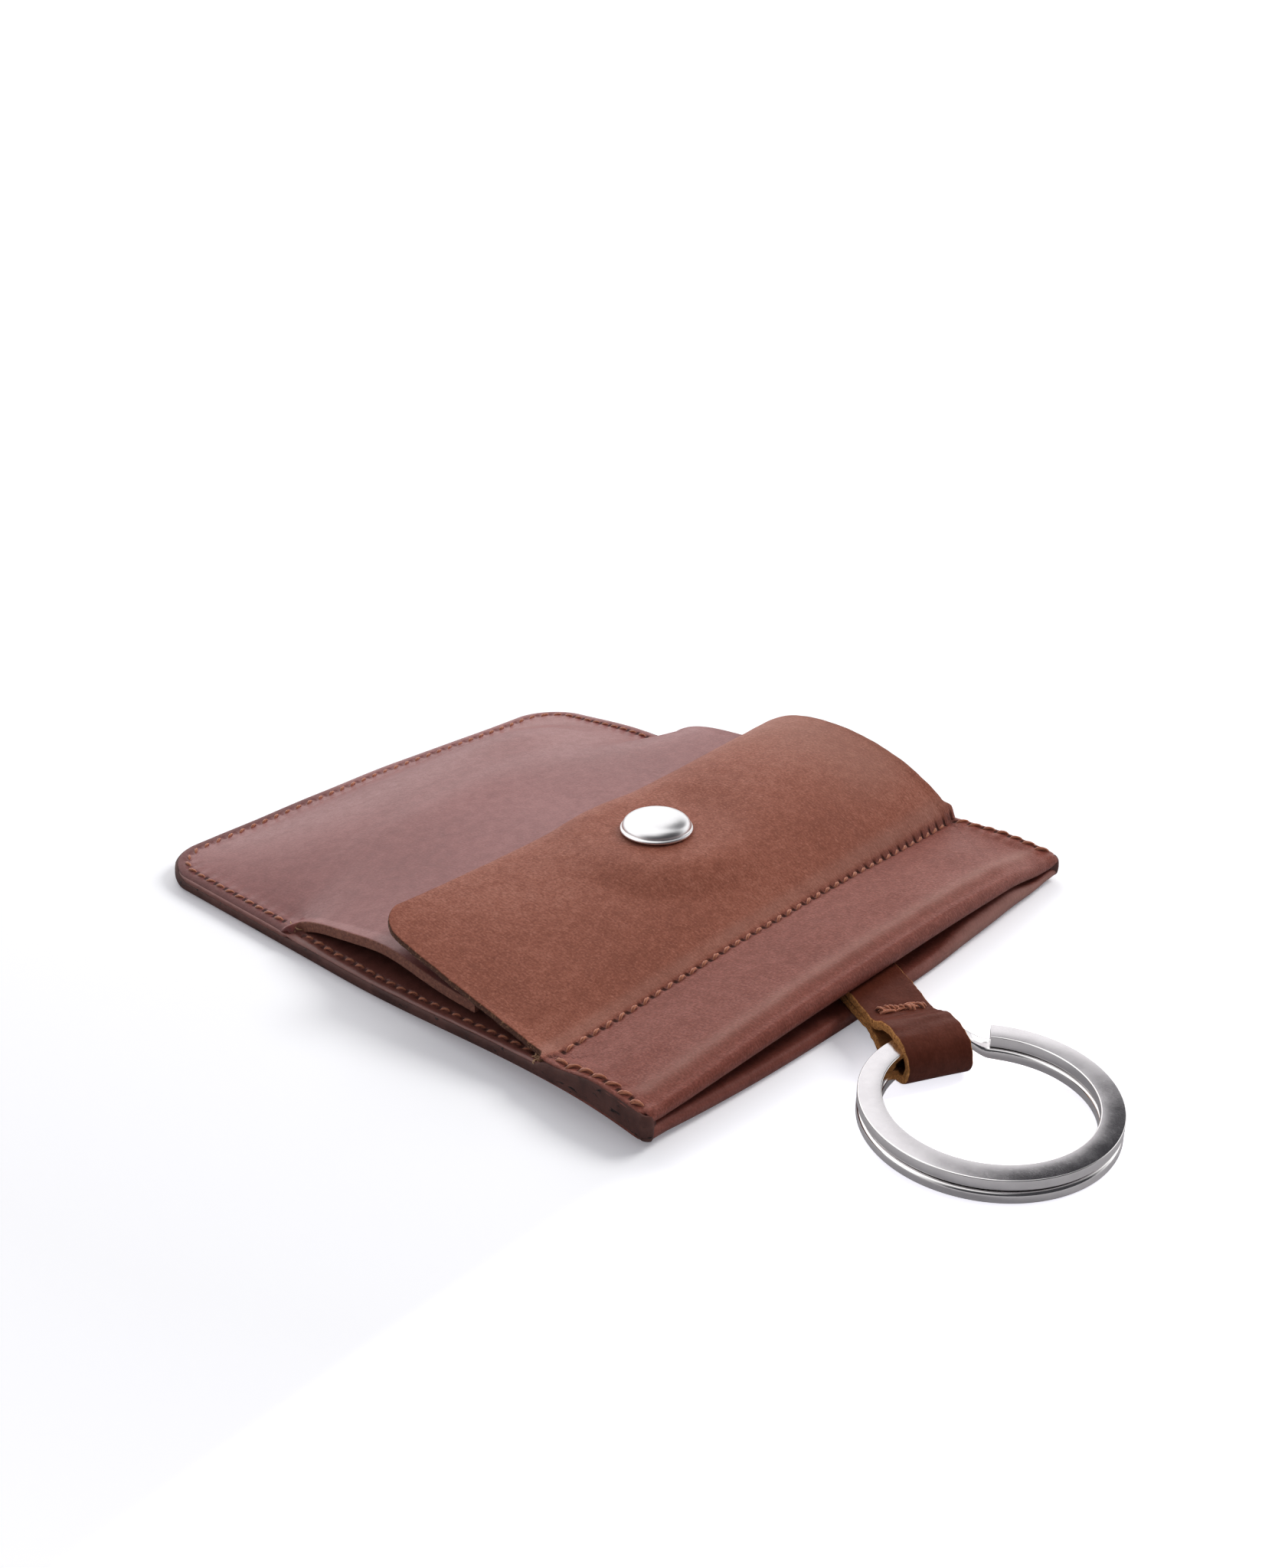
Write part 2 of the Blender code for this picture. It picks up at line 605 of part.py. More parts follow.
def make_front_leather():
    """Divider, upper lip and front band: one leather folded back at the mouth."""
    columns = seam_columns()
    lip_y = np.full(len(columns), MOUTH_Y + LEATHER)
    base_x = seam_x(lip_y[None, :])[0]
    low = divider_under(base_x, lip_y) + HALF * LEATHER
    high = band_under(base_x, lip_y) + HALF * LEATHER
    radius = HALF * (high - low)
    fold_y = mouth_line() + radius + HALF * LEATHER
    straight = np.concatenate([
        stations(
            (FLAP_LINE_Y, LONG_ROWS),
            (SNAP_Y, MIDDLE_ROWS),
            (EDGE_LIFT_END_Y, SHORT_ROWS),
            (ROUND_Y - CORNER_RADIUS, 1),
        )[:-1],
        round_end_stations(),
    ])
    straight = np.repeat(straight[::-1, None], len(columns), axis=1)
    divider_y = np.concatenate([straight, lip_rows(fold_y, FLAP_LINE_Y, DIVIDER_LIP_SHARES)])
    divider_x = seam_x(np.maximum(divider_y, MOUTH_Y))
    divider_z = divider_under(divider_x, np.maximum(divider_y, MOUTH_Y)) + HALF * LEATHER
    stitch = FLAP_LINE_Y - FLAP_STITCH_SETBACK
    band_y = np.concatenate([
        lip_rows(fold_y, stitch, BAND_SHARES),
        np.full((1, len(columns)), stitch),
        np.full((1, len(columns)), FLAP_LINE_Y - HALF * HINGE_GAP),
    ])
    band_x = seam_x(np.maximum(band_y, MOUTH_Y))
    band_z = band_under(band_x, np.maximum(band_y, MOUTH_Y)) + HALF * LEATHER
    divider_z[-1] = low
    band_z[0] = high
    fold, fold_normal = lip_fold(fold_y, HALF * (low + high), radius)
    centre = np.concatenate([
        with_height(divider_x, divider_y, divider_z),
        fold,
        with_height(band_x, band_y, band_z),
    ])
    normal = np.concatenate([
        vertical(-1.0, divider_y.shape),
        fold_normal,
        vertical(1.0, band_y.shape),
    ])
    reach = HALF * LEATHER
    return make_sheet("front_leather", centre + reach * normal, centre - reach * normal, LEATHER_BODY)


def make_pocket_panel():
    """Sewn part of the coin pocket, from the tongue's root to the round end."""
    rows = np.concatenate([
        stations((TONGUE_ROOT_Y + HALF * HINGE_GAP, LONG_ROWS), (ROUND_Y - CORNER_RADIUS, 1))[:-1],
        round_end_stations(),
    ])[:, None]
    x = seam_x(rows)
    y = rows + np.zeros_like(x)
    top = pocket_top(x, y)
    outer = with_height(x, y, top)
    inner = with_height(x, y, top - LEATHER)
    return make_sheet("pocket_panel", outer, inner, LEATHER_BODY)


def make_pocket_tongue(axis):
    """Free tongue of the coin pocket, which carries the snap's stud."""
    root = TONGUE_ROOT_Y - HALF * HINGE_GAP
    pad_start = SNAP_Y + SNAP_PAD_RADIUS
    rows = stations((root, LONG_ROWS), (pad_start, SHORT_ROWS), (SNAP_Y, 1), (TONGUE_TIP_Y, 1))[:, None]
    x = free_x(rows, TONGUE_INSET)
    y = rows + np.zeros_like(x)
    top = tongue_top(x, y)
    item = make_sheet(
        "pocket_tongue", with_height(x, y, top), with_height(x, y, top - LEATHER), LEATHER_BODY, axis
    )
    levels = snap_levels()
    radius = HALF * STUD_HEAD_DIAMETER - STUD_WALL
    cut_hole(item, (0.0, SNAP_Y), radius, levels["post_flange_top"], levels["stud_flange_top"])
    return item


def make_flap(axis):
    """Flap that closes the coin pocket, with two rounded free corners."""
    root = FLAP_LINE_Y + HALF * HINGE_GAP
    rows = stations(
        (root, 1),
        (FLAP_LINE_Y + SEAM_MARGIN * HALF, MIDDLE_ROWS),
        (SNAP_Y - SNAP_PAD_RADIUS, 1),
        (SNAP_Y, 1),
        (SNAP_Y + HALF * (FLAP_TIP_Y - FLAP_CORNER_RADIUS - SNAP_Y), 1),
        (FLAP_TIP_Y - FLAP_CORNER_RADIUS, 1),
        (FLAP_TIP_Y - HALF * FLAP_CORNER_RADIUS, 1),
        (FLAP_TIP_Y - HALF * HALF * HALF * FLAP_CORNER_RADIUS, 1),
        (FLAP_TIP_Y, 1),
    )[:, None]
    into = np.clip(rows - (FLAP_TIP_Y - FLAP_CORNER_RADIUS), 0.0, FLAP_CORNER_RADIUS)
    corner = FLAP_CORNER_RADIUS - np.sqrt(np.maximum(FLAP_CORNER_RADIUS**2 - into**2, 0.0))
    x = free_x(rows, FLAP_INSET)
    x = x * (1.0 - corner / (half_width(rows) - FLAP_INSET))
    y = rows + np.zeros_like(x)
    top = flap_top(x, y)
    item = make_sheet("flap", with_height(x, y, top), with_height(x, y, top - LEATHER), LEATHER_FLAP, axis)
    levels = snap_levels()
    radius = HALF * BARREL_DIAMETER + BARREL_CLEARANCE
    cut_hole(item, (0.0, SNAP_Y), radius, levels["socket_top"], levels["flap_top"] + CAP_SEAT_GAP)
    return item


def make_snap(flap_axis, tongue_axis):
    """Cap and socket clamp the flap, stud and post clamp the tongue."""
    levels = snap_levels()
    centre = (0.0, SNAP_Y)
    cap_base = levels["flap_top"] + CAP_SEAT_GAP
    stud_top = levels["stud_flange_top"] + STUD_HEAD_RISE
    cap_radius = HALF * CAP_DIAMETER
    barrel = HALF * BARREL_DIAMETER
    rim_top = cap_base + CAP_RIM
    dome_rise = CAP_RISE - CAP_RIM
    dome = [(cap_radius * math.cos(turn), rim_top + dome_rise * math.sin(turn)) for turn in DOME_TURNS]
    cap = [(0.0, stud_top + SNAP_GAP), (barrel, stud_top + SNAP_GAP), (barrel, cap_base)]
    cap += [(cap_radius - CAP_RIM, cap_base)] + dome + [(0.0, cap_base + CAP_RISE)]
    make_turned("snap_cap", cap, centre, NICKEL_FINISH, flap_axis)

    top, under = levels["socket_top"], levels["socket_under"]
    cavity = HALF * SOCKET_CAVITY_DIAMETER
    collar = barrel + BARREL_CLEARANCE
    socket = [
        (collar, top),
        (HALF * SOCKET_DIAMETER, top),
        (HALF * SOCKET_DIAMETER, top - SOCKET_ROOF),
        (HALF * (HALF * SOCKET_DIAMETER + cavity) + THREAD_GAP, under),
        (cavity, under),
        (cavity, top - SOCKET_ROOF),
        (collar, top - SOCKET_ROOF),
    ]
    make_turned("snap_socket", socket, centre, NICKEL_FINISH, flap_axis)

    head = HALF * STUD_HEAD_DIAMETER
    bore = head - STUD_WALL
    flange_top, flange_under = levels["stud_flange_top"], levels["stud_flange_under"]
    stud = [
        (0.0, stud_top),
        (head - SNAP_GAP, stud_top),
        (head, stud_top - SNAP_GAP),
        (head - SNAP_GAP, flange_top),
        (HALF * STUD_FLANGE_DIAMETER, flange_top),
        (HALF * STUD_FLANGE_DIAMETER, flange_under),
        (bore, flange_under),
        (bore, stud_top - STUD_WALL),
        (0.0, stud_top - STUD_WALL),
    ]
    make_turned("snap_stud", stud, centre, NICKEL_FINISH, tongue_axis)

    post_top = levels["post_flange_top"]
    post = [
        (0.0, stud_top - STUD_WALL - POST_CLEARANCE),
        (bore - POST_CLEARANCE, stud_top - STUD_WALL - POST_CLEARANCE),
        (bore - POST_CLEARANCE, post_top),
        (HALF * POST_FLANGE_DIAMETER, post_top),
        (HALF * POST_FLANGE_DIAMETER, post_top - POST_FLANGE),
        (0.0, post_top - POST_FLANGE),
    ]
    make_turned("snap_post", post, centre, NICKEL_FINISH, tongue_axis)


def make_side_thread(name, side, rows, surface):
    """Thread along one side seam, resting just above the ply that it is sewn into."""
    x = side * (half_width(rows) - STITCH_INSET)
    z = surface(x, rows) + THREAD_GAP + HALF * THREAD_DIAMETER
    make_tube(name, with_height(x, rows, z), HALF * THREAD_DIAMETER, THREAD_FINISH)


def make_threads():
    lift = THREAD_GAP + HALF * THREAD_DIAMETER
    pocket_start = TONGUE_ROOT_Y + SEAM_MARGIN
    divider_end = FLAP_LINE_Y + DIVIDER_THREAD_SETBACK
    divider_start = TONGUE_ROOT_Y - SEAM_MARGIN
    divider_rows = stations((divider_start, SHORT_ROWS), (EDGE_LIFT_END_Y, LONG_ROWS), (divider_end, 1))
    band_rows = stations((FLAP_LINE_Y - HALF * SEAM_MARGIN, MIDDLE_ROWS), (MOUTH_Y + STITCH_INSET, 1))
    for label, side in (("near", -1.0), ("far", 1.0)):
        make_side_thread("divider_thread_" + label, side, divider_rows, divider_top)
        make_side_thread("band_thread_" + label, side, band_rows, band_top)

    radius = CORNER_RADIUS - STITCH_INSET
    turns = np.linspace(0.0, QUARTER_TURN, BEND_STEPS)
    side_y = np.linspace(pocket_start, ROUND_Y - CORNER_RADIUS, LONG_ROWS, endpoint=False)
    right = [(float(half_width(y)) - STITCH_INSET, float(y)) for y in side_y]
    corner_x = outline_half(np.array([ROUND_Y - CORNER_RADIUS]))[0] - CORNER_RADIUS
    corner_y = ROUND_Y - CORNER_RADIUS
    right += [(corner_x + radius * math.cos(turn), corner_y + radius * math.sin(turn)) for turn in turns]
    left = [(-x, y) for x, y in reversed(right)]
    plan = np.array(right + left)
    z = pocket_top(plan[:, 0], plan[:, 1]) + lift
    path = with_height(plan[:, 0], plan[:, 1], z)
    make_tube("round_end_thread", path, HALF * THREAD_DIAMETER, THREAD_FINISH)

    stitch = np.array([FLAP_LINE_Y - FLAP_STITCH_SETBACK])
    x = seam_x(stitch[:, None])[0][2:-2]
    y = np.full_like(x, stitch[0])
    z = band_top(x, y) + lift
    make_tube("flap_line_thread", with_height(x, y, z), HALF * THREAD_DIAMETER, THREAD_FINISH)


def strap_plan(reach, across):
    """Plan point at a reach along the strap and a place across it."""
    point = STRAP_PIVOT + reach * STRAP_OUT + across * STRAP_SIDE
    return point[0], point[1]


def make_strap(swing_axis, lift_axis):
    """Doubled strap: a tab sewn in under the flap line, a neck between the lips and the loop."""
    low, high = STRAP_Z - STRAP_HALF_STACK, STRAP_TOP
    half = HALF * STRAP_WIDTH
    tab_front = STRAP_PIVOT_Y + half + TAB_CLEARANCE
    tab = [(-half, tab_front), (half, tab_front), (half, TAB_END_Y), (-half, TAB_END_Y)]
    make_plate("strap_tab", tab, low, high, LEATHER_STRAP)

    relief = STRAP_HALF_STACK * math.sin(max(STRAP_LIFT_UP, STRAP_LIFT_DOWN)) + STRAP_HINGE_CLEARANCE
    turns = np.linspace(0.0, math.pi, BEND_STEPS)
    neck = [strap_plan(-half * math.sin(turn), half * math.cos(turn)) for turn in turns]
    neck += [strap_plan(STRAP_LIFT_REACH - relief, -half), strap_plan(STRAP_LIFT_REACH - relief, half)]
    make_plate("strap_neck", neck, low, high, LEATHER_STRAP, swing_axis)

    ply = HALF * (STRAP_LEATHER + STRAP_PLY_GAP)
    radius = LOOP_INNER_RADIUS + HALF * STRAP_LEATHER
    flat_start = STRAP_LOOP_REACH - LOOP_FLAT
    level = np.linspace(STRAP_LIFT_REACH, THROAT_REACH, SHORT_ROWS, endpoint=False)
    straight = [(reach, ply) for reach in level]
    start = np.array([THROAT_REACH, ply])
    stop = np.array([
        flat_start + radius * math.cos(LOOP_OPEN_ANGLE),
        radius * math.sin(LOOP_OPEN_ANGLE),
    ])
    leave = np.array([1.0, 0.0]) * LOOP_THROAT
    arrive = np.array([math.sin(LOOP_OPEN_ANGLE), -math.cos(LOOP_OPEN_ANGLE)]) * LOOP_THROAT
    bend = []
    for share in np.linspace(0.0, 1.0, BEND_STEPS, endpoint=False):
        cube, square = share**3, share**2
        point = (2.0 * cube - 3.0 * square + 1.0) * start + (cube - 2.0 * square + share) * leave
        point = point + (3.0 * square - 2.0 * cube) * stop + (cube - square) * arrive
        bend.append(tuple(point))
    turns = np.linspace(LOOP_OPEN_ANGLE, QUARTER_TURN, MIDDLE_ROWS)
    rounding = [(flat_start + radius * math.cos(turn), radius * math.sin(turn)) for turn in turns]
    turns = np.linspace(QUARTER_TURN, 0.0, BEND_STEPS)
    rounding += [(STRAP_LOOP_REACH + radius * math.cos(turn), radius * math.sin(turn)) for turn in turns]
    upper = np.array(straight + bend + rounding)
    path = np.concatenate([upper, (upper * np.array([1.0, -1.0]))[-2::-1]])
    along = np.gradient(path, axis=0)
    along /= np.linalg.norm(along, axis=1)[:, None]
    across = np.stack([-along[:, 1], along[:, 0]], axis=1)
    sides = []
    for sign in (1.0, -1.0):
        profile = path + sign * HALF * STRAP_LEATHER * across
        grid = np.array([
            [STRAP_PIVOT + reach * STRAP_OUT + place * STRAP_SIDE + np.array([0.0, 0.0, height])
             for place in (-half, half)]
            for reach, height in profile
        ])
        sides.append(grid)
    make_sheet("strap_loop", sides[0], sides[1], LEATHER_STRAP, lift_axis)

    tack_z = STRAP_TOP + THREAD_GAP + HALF * THREAD_DIAMETER
    tack = []
    for place in np.linspace(-HALF * TACK_LENGTH, HALF * TACK_LENGTH, MIDDLE_ROWS):
        tack.append((*strap_plan(TACK_REACH, place), tack_z))
    make_tube("strap_tack_thread", tack, HALF * THREAD_DIAMETER, THREAD_FINISH, lift_axis)


def ring_frame():
    """Middle of the ring and its three directions: it leans from the loop down to the floor."""
    height = RING_WIRE_HEIGHT + HALF * RING_COIL_GAP
    middle = HALF * (RING_DIAMETER - RING_BAND)
    reach = middle - RING_SEAT_SHIFT
    drop = LOOP_CENTRE[2] - height
    tilt = math.asin(drop / (reach + HALF * RING_DIAMETER))
    flat = np.array([-math.sin(RING_YAW), -math.cos(RING_YAW), 0.0])
    side = np.array([math.cos(RING_YAW), -math.sin(RING_YAW), 0.0])
    out = flat * math.cos(tilt) + np.array([0.0, 0.0, -math.sin(tilt)])
    up = np.cross(out, side)
    return LOOP_CENTRE + reach * out, side, out, up


def make_ring(axis):
    """Flat split ring: two stacked turns of one wire, with a short step between them."""
    centre, side, out, up = ring_frame()
    if up[2] < 0.0:
        up = -up
    middle = HALF * (RING_DIAMETER - RING_BAND)
    level = HALF * (RING_WIRE_HEIGHT + RING_COIL_GAP)
    step_start = WHOLE_TURN - RING_STEP_ANGLE
    end = WHOLE_TURN + WHOLE_TURN - RING_OVERLAP_SHARE * RING_STEP_ANGLE
    turns = np.concatenate([
        np.linspace(0.0, step_start, RING_TURN_STEPS, endpoint=False),
        np.linspace(step_start, WHOLE_TURN, LONG_ROWS, endpoint=False),
        np.linspace(WHOLE_TURN, end, RING_TURN_STEPS),
    ])
    heights = level - 2.0 * level * smooth_step((turns - step_start) / RING_STEP_ANGLE)
    half_band, half_wire = HALF * RING_BAND, HALF * RING_WIRE_HEIGHT
    section = []
    for sign_band, sign_wire in ((1.0, 1.0), (-1.0, 1.0), (-1.0, -1.0), (1.0, -1.0)):
        flat_point = (sign_band * (half_band - RING_CHAMFER), sign_wire * half_wire)
        edge_point = (sign_band * half_band, sign_wire * (half_wire - RING_CHAMFER))
        pair = [edge_point, flat_point] if sign_band * sign_wire > 0.0 else [flat_point, edge_point]
        section.extend(pair)
    section = np.array(section)
    angles = RING_CUT_ANGLE - turns
    radial = np.cos(angles)[:, None] * np.array([1.0, 0.0]) + np.sin(angles)[:, None] * np.array([0.0, 1.0])
    flat_x = side
    flat_y = np.cross(up, side)
    basis_x = np.array([np.dot([1.0, 0.0, 0.0], flat_x), np.dot([1.0, 0.0, 0.0], flat_y)])
    basis_x /= np.linalg.norm(basis_x)
    basis_y = np.array([-basis_x[1], basis_x[0]])
    in_plane = radial[:, :1] * basis_x + radial[:, 1:] * basis_y
    direction = in_plane[:, :1] * flat_x + in_plane[:, 1:] * flat_y
    points = (
        centre
        + (middle + section[None, :, 0, None]) * direction[:, None, :]
        + (heights[:, None, None] + section[None, :, 1, None]) * up
    )
    count = len(section)
    faces = []
    for step in range(len(turns) - 1):
        for corner in range(count):
            after = (corner + 1) % count
            low, high = step * count, (step + 1) * count
            faces.append((low + corner, low + after, high + after, high + corner))
    faces.append(tuple(range(count))[::-1])
    faces.append(tuple(range((len(turns) - 1) * count, len(turns) * count)))
    return make_object("split_ring", points.reshape(-1, 3), faces, NICKEL_FINISH, axis)


def main():
    clear_scene()
    root_top = float(band_top(np.zeros(1), np.full(1, FLAP_LINE_Y))[0])
    flap_axis = make_axis("flap_hinge_axis", (0.0, FLAP_LINE_Y, root_top))
    tongue_root = float(pocket_top(np.zeros(1), np.full(1, TONGUE_ROOT_Y))[0])
    tongue_axis = make_axis("tongue_hinge_axis", (0.0, TONGUE_ROOT_Y, tongue_root))
    swing_axis = make_axis("strap_swing_axis", STRAP_PIVOT)
    lift_axis = make_axis("strap_lift_axis", STRAP_LIFT_POINT, swing_axis)
    ring_axis = make_axis("ring_swing_axis", LOOP_CENTRE, lift_axis)
    make_back_panel()
    make_front_leather()
    make_pocket_panel()
    make_pocket_tongue(tongue_axis)
    make_flap(flap_axis)
    make_snap(flap_axis, tongue_axis)
    make_threads()
    make_strap(swing_axis, lift_axis)
    make_ring(ring_axis)


main()
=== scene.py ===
"""Leather key case: the visible leathers, stitches, snap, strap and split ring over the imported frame.

The pouch lies on its back leather at z = 0, X runs along the mouth, and Y runs from the mouth (at -Y) to the
round end (at +Y). Each leather is a grid of its outer surface, given a thickness along its own normals.
The object's shapes are worked out in millimetres, and mesh_object turns them into metres. The stage is in metres.
"""

import math

import bpy
import numpy as np
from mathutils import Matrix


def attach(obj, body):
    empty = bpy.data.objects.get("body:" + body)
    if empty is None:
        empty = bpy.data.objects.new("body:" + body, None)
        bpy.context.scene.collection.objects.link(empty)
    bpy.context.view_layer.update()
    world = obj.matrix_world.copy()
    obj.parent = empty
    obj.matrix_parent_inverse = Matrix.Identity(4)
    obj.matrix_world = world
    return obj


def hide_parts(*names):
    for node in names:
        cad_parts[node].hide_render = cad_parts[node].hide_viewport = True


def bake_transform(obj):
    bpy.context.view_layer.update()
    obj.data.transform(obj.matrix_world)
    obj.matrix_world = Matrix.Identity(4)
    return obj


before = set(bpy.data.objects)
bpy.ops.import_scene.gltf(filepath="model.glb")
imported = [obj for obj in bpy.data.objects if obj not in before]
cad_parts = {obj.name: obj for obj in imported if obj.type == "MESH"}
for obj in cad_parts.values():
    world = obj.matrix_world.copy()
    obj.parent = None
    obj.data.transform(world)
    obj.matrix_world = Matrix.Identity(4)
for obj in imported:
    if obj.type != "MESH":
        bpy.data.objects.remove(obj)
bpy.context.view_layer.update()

MM = 0.001
QUARTER_TURN, HALF_TURN, WHOLE_TURN = 0.5 * math.pi, math.pi, 2.0 * math.pi
UP = np.array([0.0, 0.0, 1.0])

# Outline and the lines across it
MOUTH_WIDTH, ROUND_END_WIDTH = 90.0, 77.4
MOUTH_Y, ROUND_Y = -48.25, 48.25
CORNER_RADIUS, MOUTH_CORNER_RADIUS, MOUTH_BOW = 7.6, 1.0, 1.8
END_SKEW_SHARE, END_BEND, END_BEND_START_X, END_BEND_LENGTH = 0.02, 2.4, -5.0, 45.0
FAR_PRESS_START_X, FAR_PRESS_LENGTH = 30.0, 10.0
FLAP_LINE_Y, STITCH_LINE_Y, FLAP_TIP_Y = -30.8, -32.8, 1.6
TONGUE_ROOT_Y, TONGUE_TIP_Y, SNAP_Y = 19.7, -16.5, -11.3
SEAM_MARGIN, STITCH_INSET, HEM_WIDTH, DIVIDER_FRONT = 3.2, 1.7, 8.0, 4.0

# Leathers
LEATHER, POCKET_LEATHER, STRAP_LEATHER, PLY_GAP = 0.9, 1.6, 1.2, 0.2
BAND_MARGIN, BAND_DROP, BAND_DROP_FAR = 1.5, 0.55, 0.30
DIVIDER_MARGIN, DIVIDER_DROP = 1.5, 0.45
POCKET_MARGIN, POCKET_DROP, POCKET_DROP_FAR = 2.2, 1.15, 0.35
LIP_ROLL, LIP_NOSE, LIP_NOSE_LENGTH = 0.25, 0.60, 3.4

# Fullness of the pouch
EDGE_LIFT, EDGE_LIFT_MOUTH_SHARE, EDGE_LIFT_PEAK_Y, EDGE_LIFT_END_Y = 1.9, 0.37, -34.0, 7.92
FLAT_SHARE, PUFF_POWER = 0.45, 2.4
KEY_ROOM_BACK, KEY_ROOM_MOUTH, KEY_ROOM_SLOPE_LENGTH, KEY_ROOM_SLOPE_END_Y = 0.9, 3.9, 21.5, -7.5
HEM_FULLNESS, LIP_FULLNESS = 0.1, 0.9
POCKET_RISE, POCKET_PEAK_Y, POCKET_FAR_RISE, SEAM_PRESS = 5.5, 15.0, 1.3, 0.5

# Flap and tongue; groups of three are the near, middle and far values
FLAP_INSET, FLAP_CORNER_RADIUS = 1.2, 5.0
FLAP_END, FLAP_ARCH, FLAP_ARCH_POWER = (11.3, 10.2, 10.3), (-0.5, 3.4, 6.5), 0.6
FLAP_RISE_LENGTH, FLAP_RISE_POWER, FLAP_RISE_POWER_LESS_FAR, FLAP_RISE_FAR_X = 7.0, 1.60, 0.55, 35.0
TONGUE_INSET, TONGUE_LEVEL_SHARE = 2.2, 0.75
TONGUE_RISE_NEAR, TONGUE_RISE_LENGTH_NEAR, TONGUE_RISE_FAR, TONGUE_RISE_LENGTH_FAR = 2.9, 4.5, 5.7, 3.4
TONGUE_BULGE, TONGUE_BULGE_Y, TONGUE_BULGE_LENGTH = 1.3, 0.5, 8.0
TONGUE_ROUNDING, TONGUE_ROUNDING_MIDDLE = 0.6, 2.6
SNAP_PAD_RADIUS, SNAP_PAD_FADE = 8.0, 8.0

# Strap
STRAP_WIDTH, STRAP_PLY_LEVEL, STRAP_LOOP_REACH = 8.7, 0.68, 20.2
TACK_REACH, TACK_LENGTH, TACK_LEVEL, TAB_END_Y = 12.4, 5.5, 0.33, -29.0
STRAP_BEND_START, STRAP_BEND_END = 7.6, 11.4
STRAP_SKEW = math.radians(29.0)
STRAP_PIVOT = np.array([0.0, -45.0, 3.55])
STRAP_OUT = np.array([-math.sin(STRAP_SKEW), -math.cos(STRAP_SKEW), 0.0])
STRAP_SIDE = np.array([math.cos(STRAP_SKEW), -math.sin(STRAP_SKEW), 0.0])

# Ring
RING_DIAMETER, RING_BAND, RING_WIRE_HEIGHT, RING_COIL_GAP = 31.0, 2.9, 1.6, 0.2
RING_DROP, RING_SEAT_SHIFT, RING_LEAN = 0.4, 0.55, 0.030
RING_YAW, RING_CUT_ANGLE, RING_STEP_ANGLE = math.radians(23.0), math.radians(33.0), math.radians(18.0)

# Stitches and the burnished edge
PITCH, STITCH_BOW, STRAND_SIDES, TUFT_FIBRES = 2.14, 2.4, 9, 13
FURROW_DEPTH, FURROW_WIDTH, HOLE_SHARE = 0.24, 0.60, 0.45
PUCKER_DEPTH, PUCKER_PLACE, PUCKER_WIDTH = 0.12, 0.95, 0.55
EDGE_WRAP, EDGE_BEND, EDGE_SINK = 2.2, 1.2, 0.70

# Distances of a leather's points from its cut edge, close together where it rounds off, and its columns
RIM_STEPS = np.array([0.0, 0.03, 0.08, 0.16, 0.3, 0.55, 0.85, 1.15, 1.4, 1.6, 1.8, 2.05, 2.35, 2.75, 3.2])
RIM_WIDTH, ROUNDED_WIDTH, ROUNDED_DEPTH, RAW_WIDTH = 3.2, 0.28, 0.22, 0.22
BACK_COLUMNS, DIVIDER_COLUMNS, COVER_COLUMNS, POCKET_COLUMNS = 41, 61, 141, 101
NO_EDGE_NEAR = 1000.0


# Shapes


def smooth_step(share):
    share = np.clip(share, 0.0, 1.0)
    return share * share * (3.0 - 2.0 * share)


def ease(value, start, length):
    """Smooth step from 0 at the start to 1 a length further on; a length below 0 goes the other way."""
    return smooth_step((value - start) / length)


def bell(value, centre, width):
    """1 at the centre, and e to the minus square of distance over width away from it."""
    return np.exp(-(((value - centre) / width) ** 2))


def between(first, second, share):
    return first * (1.0 - share) + second * share


def unit(vectors):
    return vectors / np.linalg.norm(vectors, axis=-1, keepdims=True)


def round_off(radius, into):
    """How far a quarter circle has dropped at a way into it."""
    return radius - np.sqrt(radius**2 - into**2)


def skew_end(points):
    """The round end is a little off square, and its far corner bends back towards the mouth."""
    share = ease(points[..., 1], TONGUE_ROOT_Y, ROUND_Y - TONGUE_ROOT_Y)
    bent = ease(points[..., 0], END_BEND_START_X, END_BEND_LENGTH)
    moved = points.copy()
    moved[..., 1] -= (END_SKEW_SHARE * points[..., 0] + END_BEND * bent) * share
    return moved


def far_press(x):
    """1 at the far corner of the mouth, where the sewn plies are pressed thin."""
    return ease(x, FAR_PRESS_START_X, FAR_PRESS_LENGTH)


def half_width(y):
    return 0.5 * between(MOUTH_WIDTH, ROUND_END_WIDTH, (y - MOUTH_Y) / (ROUND_Y - MOUTH_Y))


CORNER_Y = ROUND_Y - CORNER_RADIUS
CORNER_X = half_width(CORNER_Y) - CORNER_RADIUS
ROW_RADIUS = CORNER_RADIUS - STITCH_INSET


def outline_half(y):
    """Half the width with the two corners of the round end, and the small ones of the mouth, taken off."""
    mouth = np.clip(MOUTH_Y + MOUTH_CORNER_RADIUS - y, 0.0, MOUTH_CORNER_RADIUS)
    end = round_off(CORNER_RADIUS, np.clip(y - CORNER_Y, 0.0, CORNER_RADIUS))
    return half_width(y) - end - 0.7 * round_off(MOUTH_CORNER_RADIUS, mouth)


MOUTH_HALF = float(outline_half(MOUTH_Y))


def puff(x, y):
    """1 along the middle of the pouch and 0 at the seam."""
    share = np.abs(x) / (outline_half(y) - SEAM_MARGIN)
    return 1.0 - np.clip(share, 0.0, 1.0) ** PUFF_POWER


def end_puff(y):
    share = (y - POCKET_PEAK_Y) / (ROUND_Y - SEAM_MARGIN - POCKET_PEAK_Y)
    return 1.0 - np.clip(share, 0.0, 1.0) ** PUFF_POWER


